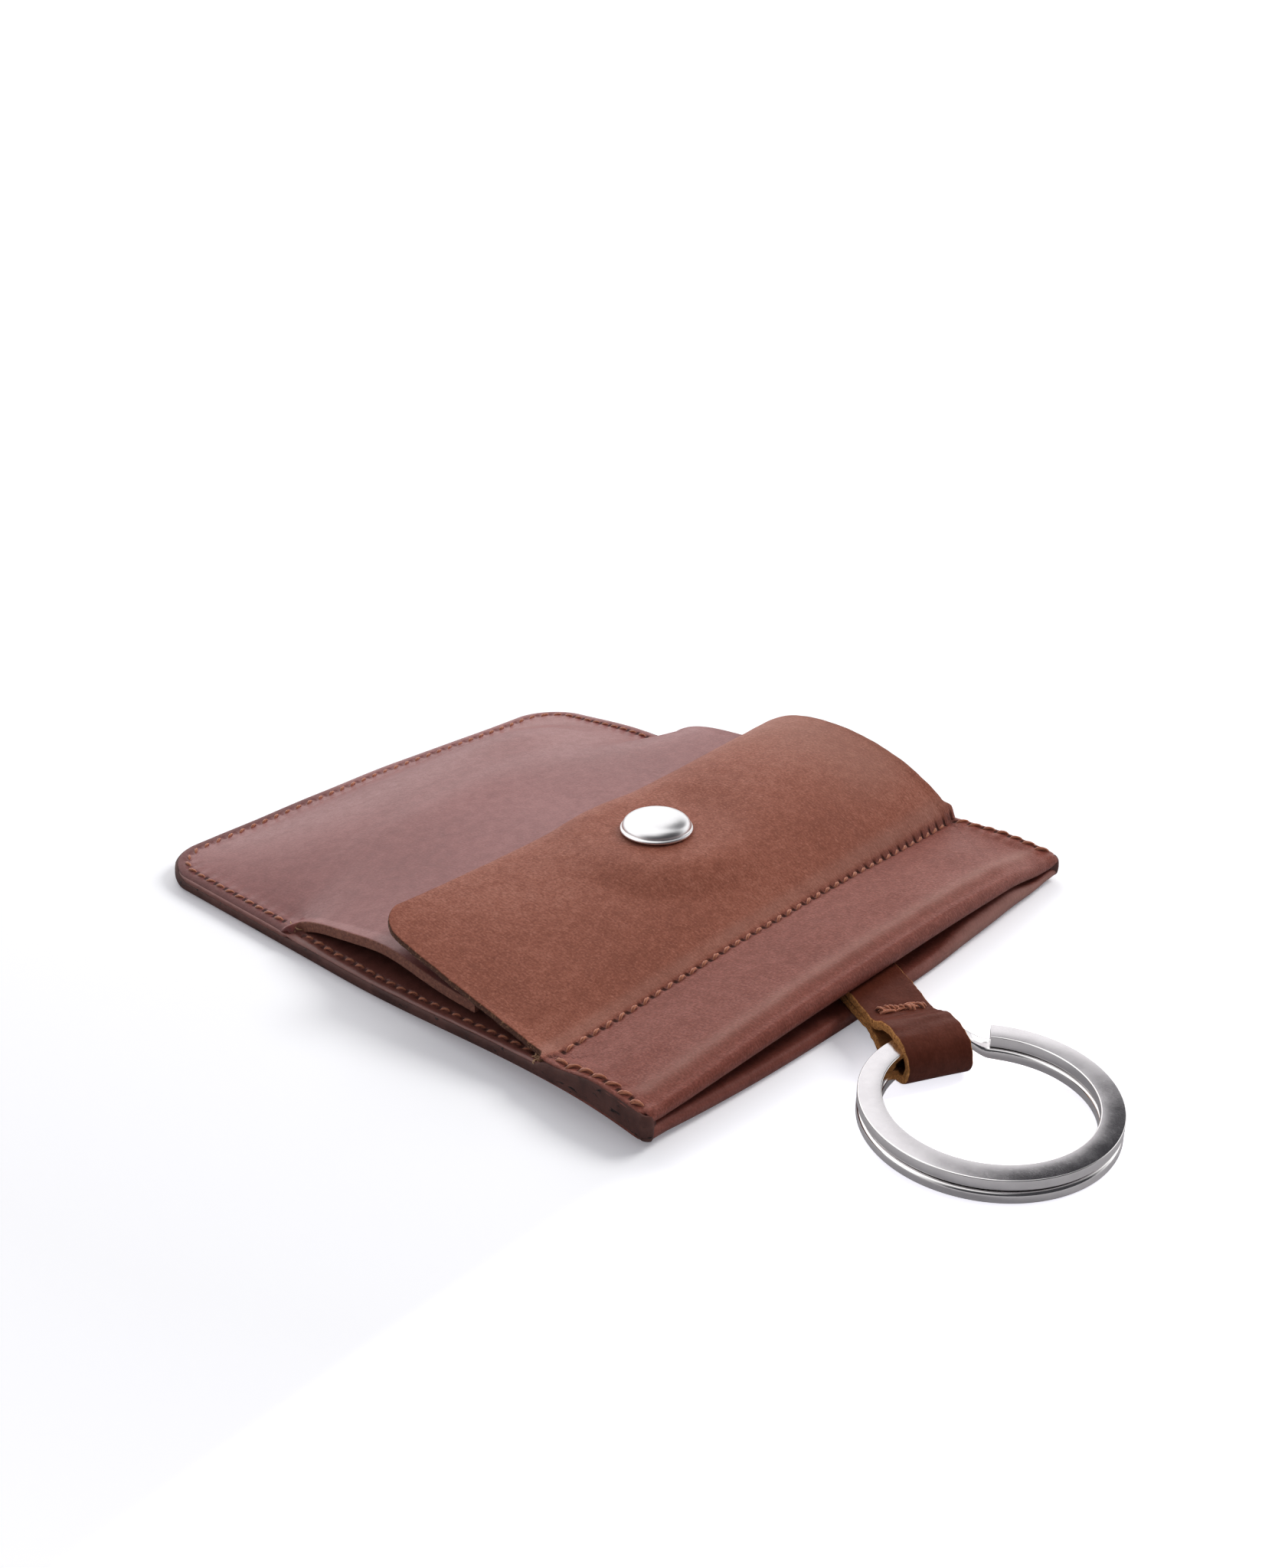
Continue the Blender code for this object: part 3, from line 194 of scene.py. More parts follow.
def edge_lift(y):
    """How far the side seams stand off the floor."""
    toward_end = np.clip((y - EDGE_LIFT_PEAK_Y) / (EDGE_LIFT_END_Y - EDGE_LIFT_PEAK_Y), 0.0, 1.0)
    toward_mouth = np.clip((EDGE_LIFT_PEAK_Y - y) / (EDGE_LIFT_PEAK_Y - MOUTH_Y), 0.0, 1.0)
    return EDGE_LIFT * (np.cos(QUARTER_TURN * toward_end) ** 2 - (1.0 - EDGE_LIFT_MOUTH_SHARE) * toward_mouth**2)


def back_under(x, y):
    """Underside of the back leather: its sides stand up, and the far one stands up by the round end too."""
    outward = np.clip((np.abs(x) / half_width(y) - FLAT_SHARE) / (1.0 - FLAT_SHARE), 0.0, 1.0)
    return (edge_lift(y) + 0.8 * bell(y, 28.0, 12.0) * ease(x, 0.0, 20.0)) * outward**2


def divider_under(x, y):
    """Underside of the divider: on the hem or the back leather at the seams, raised over the keys."""
    on_hem = 1.0 - ease(y, MOUTH_Y + HEM_WIDTH, HEM_WIDTH)
    crown = puff(x, y)
    seam = (LEATHER + PLY_GAP) * on_hem * (1.0 - crown) * (1.0 - 0.8 * far_press(x))
    room = between(KEY_ROOM_BACK, KEY_ROOM_MOUTH, ease(y, KEY_ROOM_SLOPE_END_Y, -KEY_ROOM_SLOPE_LENGTH))
    return back_under(x, y) + LEATHER + PLY_GAP + seam + room * end_puff(y) * crown


def divider_top(x, y):
    return divider_under(x, y) + LEATHER


def band_top(x, y):
    share = (FLAP_LINE_Y - y) / (FLAP_LINE_Y - MOUTH_Y - 0.5 * HEM_WIDTH)
    return divider_top(x, y) + PLY_GAP + LIP_FULLNESS * smooth_step(share) * puff(x, y) + LEATHER


def pocket_top(x, y):
    """Sewn panel of the coin pocket: pressed flat at its seam, puffed in the middle, fuller by the far corner."""
    seam = back_under(x, y) + LEATHER + 2.0 * (LEATHER + PLY_GAP) - SEAM_PRESS
    crown = end_puff(y) * puff(x, y)
    fuller = POCKET_FAR_RISE * bell(x, 20.0, 13.0) * bell(y, 37.0, 7.5) * smooth_step(3.0 * crown)
    return seam + (POCKET_RISE + SEAM_PRESS) * crown + fuller


def three_way(across, values):
    """A parabola through the near, middle and far values."""
    near, middle, far = values
    return middle + 0.5 * (far - near) * across + (0.5 * (far + near) - middle) * across**2


def flap_top_free(x, y):
    across = np.clip(x / (half_width(y) - FLAP_INSET), -1.0, 1.0)
    along = np.clip((y - FLAP_LINE_Y) / (FLAP_TIP_Y - FLAP_LINE_Y), 0.0, 1.0)
    bow = (4.0 * along * (1.0 - along)) ** FLAP_ARCH_POWER
    return between(band_top(x, FLAP_LINE_Y), three_way(across, FLAP_END), along) + three_way(across, FLAP_ARCH) * bow


def snap_share(x, y):
    return 1.0 - ease(np.hypot(x, y - SNAP_Y), SNAP_PAD_RADIUS, SNAP_PAD_FADE)


FLAP_SNAP_TOP = float(flap_top_free(np.zeros(1), np.full(1, SNAP_Y))[0])
SOCKET_TOP = FLAP_SNAP_TOP - LEATHER - 0.1
STUD_FLANGE_TOP = SOCKET_TOP - 1.5
TONGUE_SNAP_TOP = STUD_FLANGE_TOP - 0.6


def flap_top(x, y):
    return between(flap_top_free(x, y), FLAP_SNAP_TOP, snap_share(x, y))


def tongue_top(x, y):
    """Pocket's free tongue: level in the middle, with its sides standing up from the seam.

    The way from the root is rounded off with a soft corner, rounding * log(1 + e^(way / rounding)),
    so that the panel runs on into the tongue with no sharp bend.
    """
    at_root = np.full_like(y, TONGUE_ROOT_Y)
    crown = puff(x, at_root)
    rounding = TONGUE_ROUNDING + TONGUE_ROUNDING_MIDDLE * np.sqrt(crown)
    away = rounding * np.logaddexp(0.0, (TONGUE_ROOT_Y - y) / rounding)
    reach = away / (TONGUE_ROOT_Y - TONGUE_TIP_Y)
    level = (TONGUE_SNAP_TOP - pocket_top(np.zeros_like(x), at_root)) * smooth_step(reach / TONGUE_LEVEL_SHARE)
    near = TONGUE_RISE_NEAR * (1.0 - np.exp(-away / TONGUE_RISE_LENGTH_NEAR))
    near = near + TONGUE_BULGE * bell(y, TONGUE_BULGE_Y, TONGUE_BULGE_LENGTH)
    far = TONGUE_RISE_FAR * (1.0 - np.exp(-away / TONGUE_RISE_LENGTH_FAR))
    free = pocket_top(x, at_root) + level * crown + np.where(x < 0.0, near, far) * (1.0 - crown)
    return between(free, TONGUE_SNAP_TOP, snap_share(x, y))


def pocket_height(x, y):
    """The whole pocket leather: the sewn panel eased into the tongue over a few millimetres at the root."""
    return between(tongue_top(x, y), pocket_top(x, y), ease(y, TONGUE_ROOT_Y - 1.0, 9.0))


def ripple(x, y, lengths, seed):
    """Soft deterministic unevenness from -1 to 1: a sum of slanted sine waves with the given lengths."""
    rng = np.random.default_rng(seed)
    total = np.zeros(np.broadcast(x, y).shape)
    for length in np.repeat(lengths, 3):
        turn, phase = rng.uniform(0.0, WHOLE_TURN, 2)
        wave = WHOLE_TURN / (length * rng.uniform(0.8, 1.25))
        total = total + np.sin(wave * (x * math.cos(turn) + y * math.sin(turn)) + phase)
    return total / (3.0 * len(lengths))


def seam_place(x, y):
    """Distance inward from the outline, and length along the outline's stitch row.

    Both are taken in plan. The length starts at the middle of the round end: |x| on the straight end,
    then the turn times the row's radius at the corner, then the way down the side towards the mouth.
    """
    over_x, over_y = np.abs(x) - CORNER_X, y - CORNER_Y
    turn = np.arctan2(np.maximum(over_x, 0.0), np.maximum(over_y, 1e-6))
    at_corner = np.where(over_x < 0.0, ROUND_Y - y, CORNER_RADIUS - np.hypot(over_x, over_y))
    round_corner = np.where(over_x < 0.0, np.abs(x), CORNER_X + ROW_RADIUS * turn)
    inward = np.where(over_y < 0.0, half_width(y) - np.abs(x), at_corner)
    return inward, np.where(over_y < 0.0, CORNER_X + QUARTER_TURN * ROW_RADIUS - over_y, round_corner)


def stitch_inset(y):
    """The stitches run closer to the edge along the front band."""
    return STITCH_INSET - 0.65 * ease(y, FLAP_LINE_Y - 0.5, -2.5)


def row_point(length, side):
    """The point of the outline's stitch row at a length from the middle of the round end."""
    turn = np.clip((length - CORNER_X) / ROW_RADIUS, 0.0, QUARTER_TURN)
    past = np.maximum(length - CORNER_X - QUARTER_TURN * ROW_RADIUS, 0.0)
    y = CORNER_Y + ROW_RADIUS * np.cos(turn) - past
    x = np.minimum(length, CORNER_X) + ROW_RADIUS * np.sin(turn)
    return side * np.where(past > 0.0, half_width(y) - stitch_inset(y), x), y


def margin_drop(inward, width, depth):
    """How far the sewn margin rounds down towards the outline: a quarter of an ellipse."""
    share = np.clip(1.0 - inward / width, 0.0, 1.0)
    return depth * (1.0 - np.sqrt(1.0 - share**2))


def pocket_drop(x, y):
    """The pocket's margin rounds down most at the near side, and little at the far side and the round end."""
    near = (1.0 - ease(x, -25.0, 10.0)) * (1.0 - ease(y, ROUND_Y - 7.0, 5.0))
    return between(POCKET_DROP_FAR, POCKET_DROP, near)


def band_drop(x):
    """The band's margin rounds down further at the far side."""
    return BAND_DROP + BAND_DROP_FAR * ease(x, 0.0, 30.0)


def band_margin_drop(x, inward):
    return margin_drop(inward, BAND_MARGIN + band_drop(x) - BAND_DROP, band_drop(x))


def mouth_line(share):
    """Front of the lips, bowed out in the middle."""
    return MOUTH_Y - MOUTH_BOW * (1.0 - share**2)


def lip_share(x):
    return np.clip(x / (MOUTH_HALF - SEAM_MARGIN), -1.0, 1.0)


def lip_y(nominal, fold_y):
    """Stations behind a lip: they start on its bowed fold and are straight from the flap's line on."""
    share = np.clip((nominal - MOUTH_Y) / (FLAP_LINE_Y - MOUTH_Y), 0.0, 1.0)[:, None]
    return np.where(nominal[:, None] < FLAP_LINE_Y, fold_y + (FLAP_LINE_Y - fold_y) * share, nominal[:, None])


def nose_drop(x, behind_lip):
    """The upper lip's nose hangs low, except at the two corners."""
    middle = ease(0.5 * MOUTH_WIDTH - np.abs(x), 0.0, 8.0)
    return LIP_NOSE * middle * np.clip(1.0 - behind_lip / LIP_NOSE_LENGTH, 0.0, 1.0) ** 2


def stitch_line(x):
    """y of the stitches along the flap's line: they bow towards the mouth where the pouch is fullest."""
    return STITCH_LINE_Y - 0.5 + STITCH_BOW * (x / (0.5 * MOUTH_WIDTH)) ** 2


def cover_height(x, y):
    """Top of the one leather that is front band and flap, bent up behind its stitches."""
    line = stitch_line(x)
    end = line + FLAP_RISE_LENGTH
    power = FLAP_RISE_POWER - FLAP_RISE_POWER_LESS_FAR * np.clip(x / FLAP_RISE_FAR_X, 0.0, 1.0)
    past = np.clip((y - line) / FLAP_RISE_LENGTH, 0.0, 1.0) ** power
    on_flap = np.where(y < end, FLAP_LINE_Y + (end - FLAP_LINE_Y) * past, y)
    return np.where(y < line, band_top(x, np.minimum(y, line)), np.maximum(flap_top(x, on_flap), band_top(x, line)))


# Materials


class Graph:
    """Small helper that adds and links shader nodes of one material or world."""

    def __init__(self, owner):
        owner.use_nodes = True
        self.material = owner
        self.tree = owner.node_tree
        self.shader = self.tree.nodes.get("Principled BSDF")

    def fill(self, socket, value):
        """Links another node's output to a socket, or sets the socket to a number, a vector or a colour."""
        if isinstance(value, bpy.types.NodeSocket):
            self.tree.links.new(value, socket)
        elif isinstance(value, tuple) and len(socket.default_value) == 4:
            socket.default_value = (*value, 1.0)
        else:
            socket.default_value = value

    def add(self, kind, *values, inputs=None, **settings):
        """A new node, with its inputs filled in order or by name."""
        node = self.tree.nodes.new("ShaderNode" + kind)
        for key, value in settings.items():
            setattr(node, key, value)
        for key, value in [*enumerate(values), *(inputs or {}).items()]:
            self.fill(node.inputs[key], value)
        return node

    def attribute(self, name, output="Fac"):
        return self.add("Attribute", attribute_name=name).outputs[output]

    def stretched(self, vector, factors=(1000.0, 1000.0, 1000.0)):
        return self.add("VectorMath", vector, factors, operation="MULTIPLY").outputs[0]

    def parts(self, vector):
        return self.add("SeparateXYZ", vector).outputs

    def noise(self, vector, scale, detail=2.0, roughness=0.5, distortion=0.0):
        inputs = {"Vector": vector, "Scale": scale, "Detail": detail, "Roughness": roughness, "Distortion": distortion}
        return self.add("TexNoise", inputs=inputs).outputs["Fac"]

    def ramp(self, value, low, high, start=0.0, stop=1.0):
        """Maps a value between low and high to between start and stop, clamped."""
        return self.add("MapRange", value, low, high, start, stop).outputs["Result"]

    def math(self, operation, first, second=0.0):
        return self.add("Math", first, second, operation=operation).outputs[0]

    def plus(self, first, second):
        return self.math("ADD", first, second)

    def times(self, first, second):
        return self.math("MULTIPLY", first, second)

    def most(self, first, second):
        return self.math("MAXIMUM", first, second)

    def mix(self, share, first, second, blend_type="MIX"):
        inputs = {0: share, 6: first, 7: second}
        return self.add("Mix", inputs=inputs, data_type="RGBA", blend_type=blend_type).outputs[2]

    def bump(self, height, strength, distance, below=None):
        inputs = {"Height": height, "Strength": strength, "Distance": distance}
        if below is not None:
            inputs["Normal"] = below
        return self.add("Bump", inputs=inputs).outputs["Normal"]

    def shade(self, **values):
        """Fills the shader's inputs and gives the material."""
        for key, value in values.items():
            self.fill(self.shader.inputs[key.replace("_", " ")], value)
        return self.material


def leather_material(name, dark, mid, light, edge, flesh, roughness, specular, grain, speckle, sheen=0.0,
                     tufts=(0.55, 0.68), polish_tint=(1.0, 1.0, 1.0), polish=0.0, painted_highlight=(0.5, 0.3, 0.25)):
    """Waxed leather.

    Slow changes of tone and fine speckled grain on the outer face, stitch holes and puckers bumped in, with painted
    shade in the holes and along the rows, fibrous cut edges with pale tufts, and a napped flesh side. The
    shade-and-highlight attribute paints shade where it is above 0 and a highlight where it is below 0, and the
    polished mask lowers the roughness and multiplies in a painted darker, purplish sheen.
    """
    g = Graph(bpy.data.materials.new(name))
    place = g.stretched(g.attribute("hide", "Vector"))
    slow = g.noise(place, 0.05, 2.0, 0.5, 0.3)
    cloud = g.noise(place, 0.55, 3.0, 0.55, 0.3)
    tone = g.plus(g.times(slow, 0.5), g.times(cloud, 0.5))
    colour = g.mix(g.ramp(tone, 0.36, 0.52, 0.45, 1.0), dark, mid)
    colour = g.mix(g.ramp(tone, 0.50, 0.68, 0.0, 0.45), colour, light)
    fine = g.noise(place, 3.0, 3.0, 0.65)
    strokes = g.noise(g.stretched(place, (1.0, 0.30, 1.0)), 4.2, 2.0, 0.6, 0.5)
    specks = g.plus(g.times(fine, 0.55), g.times(strokes, 0.45))
    colour = g.mix(g.ramp(specks, 0.38, 0.55, speckle, 0.0), colour, dark)
    colour = g.mix(g.ramp(specks, 0.53, 0.70, 0.0, speckle), colour, light)
    polish_and_painted_sheen_mask = g.attribute("polish")
    # Painted sheen: where the polished mask is set, the colour is multiplied by a darker, purplish tint.
    colour = g.mix(polish_and_painted_sheen_mask, colour, polish_tint, "MULTIPLY")

    reach, phase, sewn = g.parts(g.attribute("stitching", "Vector"))
    reach = g.math("ABSOLUTE", reach)
    beat = g.math("COSINE", g.times(phase, WHOLE_TURN))
    # Painted shade in the stitch holes, and fainter along the whole row.
    painted_hole_shade = g.times(g.ramp(beat, 0.45, 0.90), g.ramp(reach, 0.20, 0.62, 1.0, 0.0))
    painted_stitch_shade = g.times(g.most(painted_hole_shade, g.ramp(reach, 0.1, 0.7, 0.25, 0.0)), sewn)
    crease = g.most(g.attribute("crease"), painted_stitch_shade)
    # Painted highlight: the colour goes pale where the shade-and-highlight attribute is below 0.
    colour = g.mix(g.ramp(g.attribute("crease"), -1.0, 0.0, 0.75, 0.0), colour, painted_highlight)
    # Painted shade: the colour goes dark where that attribute is above 0, and in the stitch holes.
    colour = g.mix(g.ramp(crease, 0.0, 1.0, 0.0, 0.92), colour, tuple(0.12 * value for value in dark))

    inside = g.attribute("flesh")
    nap = g.noise(place, 1.7, 4.0, 0.7)
    flesh_tone = g.mix(g.ramp(nap, 0.35, 0.65), tuple(0.7 * value for value in flesh), flesh)
    rim = g.attribute("rim")
    fibres = g.noise(place, 2.3, 4.0, 0.7, 0.6)
    edge_tone = g.mix(g.ramp(fibres, *tufts), *edge)
    colour = g.mix(g.ramp(rim, 0.25, 0.75), g.mix(inside, colour, flesh_tone), edge_tone)

    rough = g.ramp(specks, 0.35, 0.65, roughness + 0.07, roughness - 0.05)
    rough = g.plus(rough, g.ramp(tone, 0.4, 0.6, 0.03, -0.02))
    rough = g.math("SUBTRACT", rough, g.times(polish_and_painted_sheen_mask, polish))
    matte = g.most(inside, rim)
    rough = g.plus(rough, g.times(g.most(matte, crease), 0.45))
    pores = g.ramp(g.add("TexVoronoi", inputs={"Vector": place, "Scale": 2.6}).outputs["Distance"], 0.0, 0.55)
    normal = g.bump(g.plus(g.times(pores, 0.4), g.times(specks, 1.1)), 0.40 * grain, 0.00009)
    normal = g.bump(g.math("SUBTRACT", 1.0, painted_stitch_shade), 0.6, 0.00025, normal)
    normal = g.bump(g.times(fibres, matte), 0.8, 0.00020, normal)
    return g.shade(
        Base_Color=colour, Roughness=rough, Normal=normal, Specular_IOR_Level=specular,
        Sheen_Weight=sheen, Sheen_Roughness=0.5, Sheen_Tint=(0.92, 0.86, 0.92),
    )


def thread_material(name, dark, light):
    """Waxed twisted thread: a painted lighter tone on the crests of its plies, and painted shade between them."""
    g = Graph(bpy.data.materials.new(name))
    fuzz = g.noise(g.stretched(g.attribute("hide", "Vector")), 5.0, 3.0, 0.6)
    # Painted shade in the grooves between the plies, lighter on their crests, mixed with fuzz.
    share = g.plus(g.times(g.attribute("twist"), 0.6), g.times(fuzz, 0.5))
    return g.shade(
        Base_Color=g.mix(g.ramp(share, 0.2, 0.8), dark, light), Roughness=g.ramp(fuzz, 0.3, 0.7, 0.72, 0.5),
        Normal=g.bump(fuzz, 0.5, 0.00006), Sheen_Weight=0.25, Sheen_Roughness=0.5,
    )


def burnished_material():
    """Edge coat over the sewn plies: dark, smooth and a little dented."""
    g = Graph(bpy.data.materials.new("burnished_edge"))
    place = g.stretched(g.attribute("hide", "Vector"))
    slow = g.noise(place, 0.22, 3.0, 0.6)
    fine = g.noise(place, 2.4, 4.0, 0.7, 0.4)
    tone = g.mix(g.ramp(slow, 0.35, 0.65), (0.062, 0.025, 0.021), (0.118, 0.050, 0.041))
    tone = g.mix(g.ramp(fine, 0.52, 0.72, 0.0, 0.5), tone, (0.130, 0.052, 0.038))
    pits = g.ramp(g.noise(g.stretched(place, (0.55, 0.55, 1.6)), 1.1, 2.0, 0.5, 0.8), 0.63, 0.70)
    normal = g.bump(g.math("SUBTRACT", 1.0, pits), 0.7, 0.00012, g.bump(fine, 0.35, 0.00010))
    return g.shade(
        Base_Color=g.mix(pits, tone, (0.010, 0.006, 0.006)), Roughness=g.ramp(fine, 0.35, 0.65, 0.40, 0.58),
        Normal=normal, Specular_IOR_Level=0.22,
    )


def nickel_material(name, tones, roughness, mottle):
    """Nickel plate with faint clouding and fine handling marks."""
    g = Graph(bpy.data.materials.new(name))
    place = g.stretched(g.add("TexCoord").outputs["Object"])
    slow = g.noise(place, 0.35, 3.0, 0.6)
    fine = g.noise(g.stretched(place, (1.0, 0.35, 1.0)), 7.0, 3.0, 0.7)
    rough = g.plus(g.ramp(slow, 0.3, 0.7, roughness, roughness + mottle), g.ramp(fine, 0.5, 0.7, 0.0, mottle))
    return g.shade(
        Base_Color=g.mix(g.ramp(slow, 0.3, 0.7), *tones), Roughness=rough, Normal=g.bump(fine, 0.08, 0.00002),
        Metallic=1.0,
    )


# The cover's band tint is a painted darker, purplish sheen, and its pale highlight colour is for painted highlights.
LEATHER_COVER = leather_material(
    "leather_cover_grain", (0.160, 0.043, 0.023), (0.262, 0.080, 0.046), (0.390, 0.148, 0.096),
    edge=((0.090, 0.036, 0.022), (0.400, 0.205, 0.105)), flesh=(0.22, 0.11, 0.06), roughness=0.60, sheen=0.03,
    specular=0.38, grain=1.4, speckle=0.80, polish_tint=(0.77, 0.64, 0.72), polish=0.11, painted_highlight=(0.34, 0.18, 0.14),
)
LEATHER_BODY = leather_material(
    "leather_body_grain", (0.115, 0.029, 0.019), (0.185, 0.051, 0.036), (0.270, 0.092, 0.070),
    edge=((0.060, 0.030, 0.022), (0.200, 0.100, 0.060)), flesh=(0.22, 0.11, 0.07), roughness=0.48,
    specular=0.40, grain=1.0, speckle=0.40,
)
LEATHER_POCKET = leather_material(
    "leather_pocket_grain", (0.138, 0.032, 0.028), (0.212, 0.056, 0.050), (0.310, 0.100, 0.092),
    edge=((0.155, 0.052, 0.034), (0.290, 0.112, 0.070)), flesh=(0.18, 0.09, 0.06), roughness=0.345, sheen=0.02,
    specular=0.54, grain=0.6, speckle=0.34, tufts=(0.38, 0.66),
)
LEATHER_DIVIDER = leather_material(
    "leather_divider_grain", (0.110, 0.034, 0.026), (0.205, 0.068, 0.053), (0.285, 0.112, 0.092),
    edge=((0.060, 0.030, 0.020), (0.160, 0.080, 0.045)), flesh=(0.14, 0.07, 0.045), roughness=0.36,
    specular=0.55, grain=0.5, speckle=0.18,
)
LEATHER_STRAP = leather_material(
    "leather_strap_grain", (0.056, 0.013, 0.007), (0.092, 0.021, 0.011), (0.145, 0.040, 0.025),
    edge=((0.270, 0.098, 0.030), (0.740, 0.350, 0.120)), flesh=(0.32, 0.13, 0.045), roughness=0.50,
    specular=0.14, grain=1.1, speckle=0.34, tufts=(0.34, 0.60),
)
BURNISHED = burnished_material()
THREAD = thread_material("copper_thread", (0.170, 0.046, 0.023), (0.560, 0.205, 0.108))
FRAYED = thread_material("frayed_fibre", (0.150, 0.062, 0.031), (0.480, 0.265, 0.130))
NICKEL_MIRROR = nickel_material("nickel_mirror", ((0.82, 0.80, 0.80), (0.92, 0.90, 0.90)), 0.07, 0.03)
NICKEL_CAP = nickel_material("nickel_cap", ((0.84, 0.83, 0.84), (0.93, 0.92, 0.93)), 0.34, 0.02)
NICKEL_SATIN = nickel_material("nickel_satin", ((0.66, 0.63, 0.65), (0.76, 0.73, 0.75)), 0.15, 0.05)


# Mesh helpers


def put(item, body, replaced):
    """Names the body that a piece rides on, unless it is blended, and what it replaces."""
    if body is not None:
        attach(item, body)
    if replaced:
        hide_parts(*replaced)


def quads(rows, columns, closed=False):
    """Corner numbers of the faces of a grid, with its last column joined to its first if closed."""
    index = np.arange(rows * columns).reshape(rows, columns)
    after = np.roll(index, -1, axis=1) if closed else index[:, 1:]
    before = index if closed else index[:, :-1]
    return np.stack([before[:-1], after[:-1], after[1:], before[1:]], axis=-1).reshape(-1, 4)


def mesh_object(name, points, faces, materials, indices=None, sharp=None, hide=None, **marks):
    """A smooth mesh from points in millimetres and arrays of faces.

    hide: flat coordinates for the grain, in millimetres too. marks: other point attributes.
    """
    mesh = bpy.data.meshes.new(name)
    listed = [face for block in faces for face in np.asarray(block).tolist()]
    mesh.from_pydata((np.asarray(points).reshape(-1, 3) * MM).tolist(), [], listed)
    for material in materials:
        mesh.materials.append(material)
    if indices is not None:
        mesh.polygons.foreach_set("material_index", np.asarray(indices, dtype=np.int32))
    if hide is not None:
        marks = {"hide": np.asarray(hide).reshape(-1, 3) * MM, **marks}
    for label, values in marks.items():
        flat = values.ndim == 1
        layer = mesh.attributes.new(label, "FLOAT" if flat else "FLOAT_VECTOR", "POINT")
        layer.data.foreach_set("value" if flat else "vector", values.astype(np.float32).ravel())
    mesh.shade_smooth()
    if sharp is not None:
        mesh.set_sharp_from_angle(angle=math.radians(sharp))
    mesh.validate()
    item = bpy.data.objects.new(name, mesh)
    bpy.context.scene.collection.objects.link(item)
    return item


def leather_sheet(name, outer, rim, material, coords=None, thickness=LEATHER, crease=0.0, both_grain=False, raw=1.0,
                  stitching=0.0, polish=0.0):
    """A leather from its outer surface.

    outer: rows by columns of points. rim: distance of each point from the nearest cut edge.
    The thickness goes inward along the normals, and both faces round off towards the cut edges:
    top = outer - normal * taper, bottom = outer - normal * (thickness - taper).
    """
    rows, columns = outer.shape[:2]
    count = rows * columns
    normal = np.cross(np.gradient(outer, axis=1), np.gradient(outer, axis=0))
    normal /= np.maximum(np.linalg.norm(normal, axis=-1, keepdims=True), 1e-6)
    into = ROUNDED_WIDTH - np.clip(rim, 0.0, ROUNDED_WIDTH)
    taper = (ROUNDED_DEPTH / ROUNDED_WIDTH * round_off(ROUNDED_WIDTH, into))[..., None]
    top = (outer - normal * taper).reshape(-1, 3)
    bottom = (outer - normal * (thickness - taper)).reshape(-1, 3)
    index = np.arange(count).reshape(rows, columns)
    loop = np.concatenate([index[0], index[1:, -1], index[-1, -2::-1], index[-2:0:-1, 0]])
    after, wall = np.roll(loop, -1), 2 * count + np.arange(len(loop))
    next_wall = np.roll(wall, -1)
    face = quads(rows, columns)
    faces = [
        face, face[:, ::-1] + count,
        np.stack([after, loop, wall, next_wall], axis=1),
        np.stack([next_wall, wall, loop + count, after + count], axis=1),
    ]

    def spread(values, lower=None):
        """Values of the upper face, then the lower face, then the wall."""
        upper = np.broadcast_to(values, (rows, columns)).ravel()
        if lower is not None:
            return np.concatenate([upper, np.full(count + len(loop), lower)])
        return np.concatenate([upper, upper, upper[loop]])

    raw = np.broadcast_to(raw, (rows, columns))
    edges = spread(np.clip(1.0 - rim / RAW_WIDTH, 0.0, 1.0) * raw)
    edges[2 * count:] = raw.ravel()[loop]
    inner = np.concatenate([np.zeros(count), np.full(count, 0.0 if both_grain else 1.0), np.zeros(len(loop))])
    place = (unrolled(outer) if coords is None else coords).reshape(-1, 3)
    below = -thickness * UP
    marks = np.zeros((2 * count + len(loop), 3))
    marks[:count] = np.broadcast_to(stitching, (rows, columns, 3)).reshape(-1, 3)
    return mesh_object(
        name, np.concatenate([top, bottom, 0.5 * (top[loop] + bottom[loop])]), faces, [material],
        hide=np.concatenate([place, place + below, place[loop] + 0.5 * below]),
        rim=edges, flesh=inner, crease=spread(crease, 0.0), stitching=marks, polish=spread(polish),
    )


def column_places(width, inner_count):
    """x of every column at each row: fixed distances from the cut edge, then shares of what is inside."""
    inside = np.linspace(-1.0, 1.0, inner_count)[None, :] * (width - RIM_STEPS[-1])[:, None]
    right = width[:, None] - RIM_STEPS[:-1][None, :]
    return np.concatenate([-right, inside, right[:, ::-1]], axis=1)


def edge_distance(x, width):
    return width[:, None] - np.abs(x)


def each_row(values, like):
    return np.repeat(values[:, None], like.shape[1], axis=1)


def spaced(start, stop, step):
    return np.linspace(start, stop, max(2, int(round(abs(stop - start) / step)) + 1))


def up_to(edge_y):
    """The last stations before a cut edge."""
    return edge_y - RIM_STEPS[-2::-1]


def seam_dip(distance, phase):
    """Depth that a row of stitches presses in: a furrow, deeper at the holes, with puckers inward of it."""
    beat = 0.5 + 0.5 * np.cos(WHOLE_TURN * phase)
    furrow = FURROW_DEPTH * bell(distance, 0.0, FURROW_WIDTH) * (1.0 - HOLE_SHARE + HOLE_SHARE * beat)
    return furrow + PUCKER_DEPTH * bell(distance, PUCKER_PLACE, PUCKER_WIDTH) * beat


def marked(distance, phase, active):
    """The stitching attribute: distance from the row, place along it in stitches, and 1 where it is sewn."""
    return np.stack(np.broadcast_arrays(distance, phase, active), axis=-1)


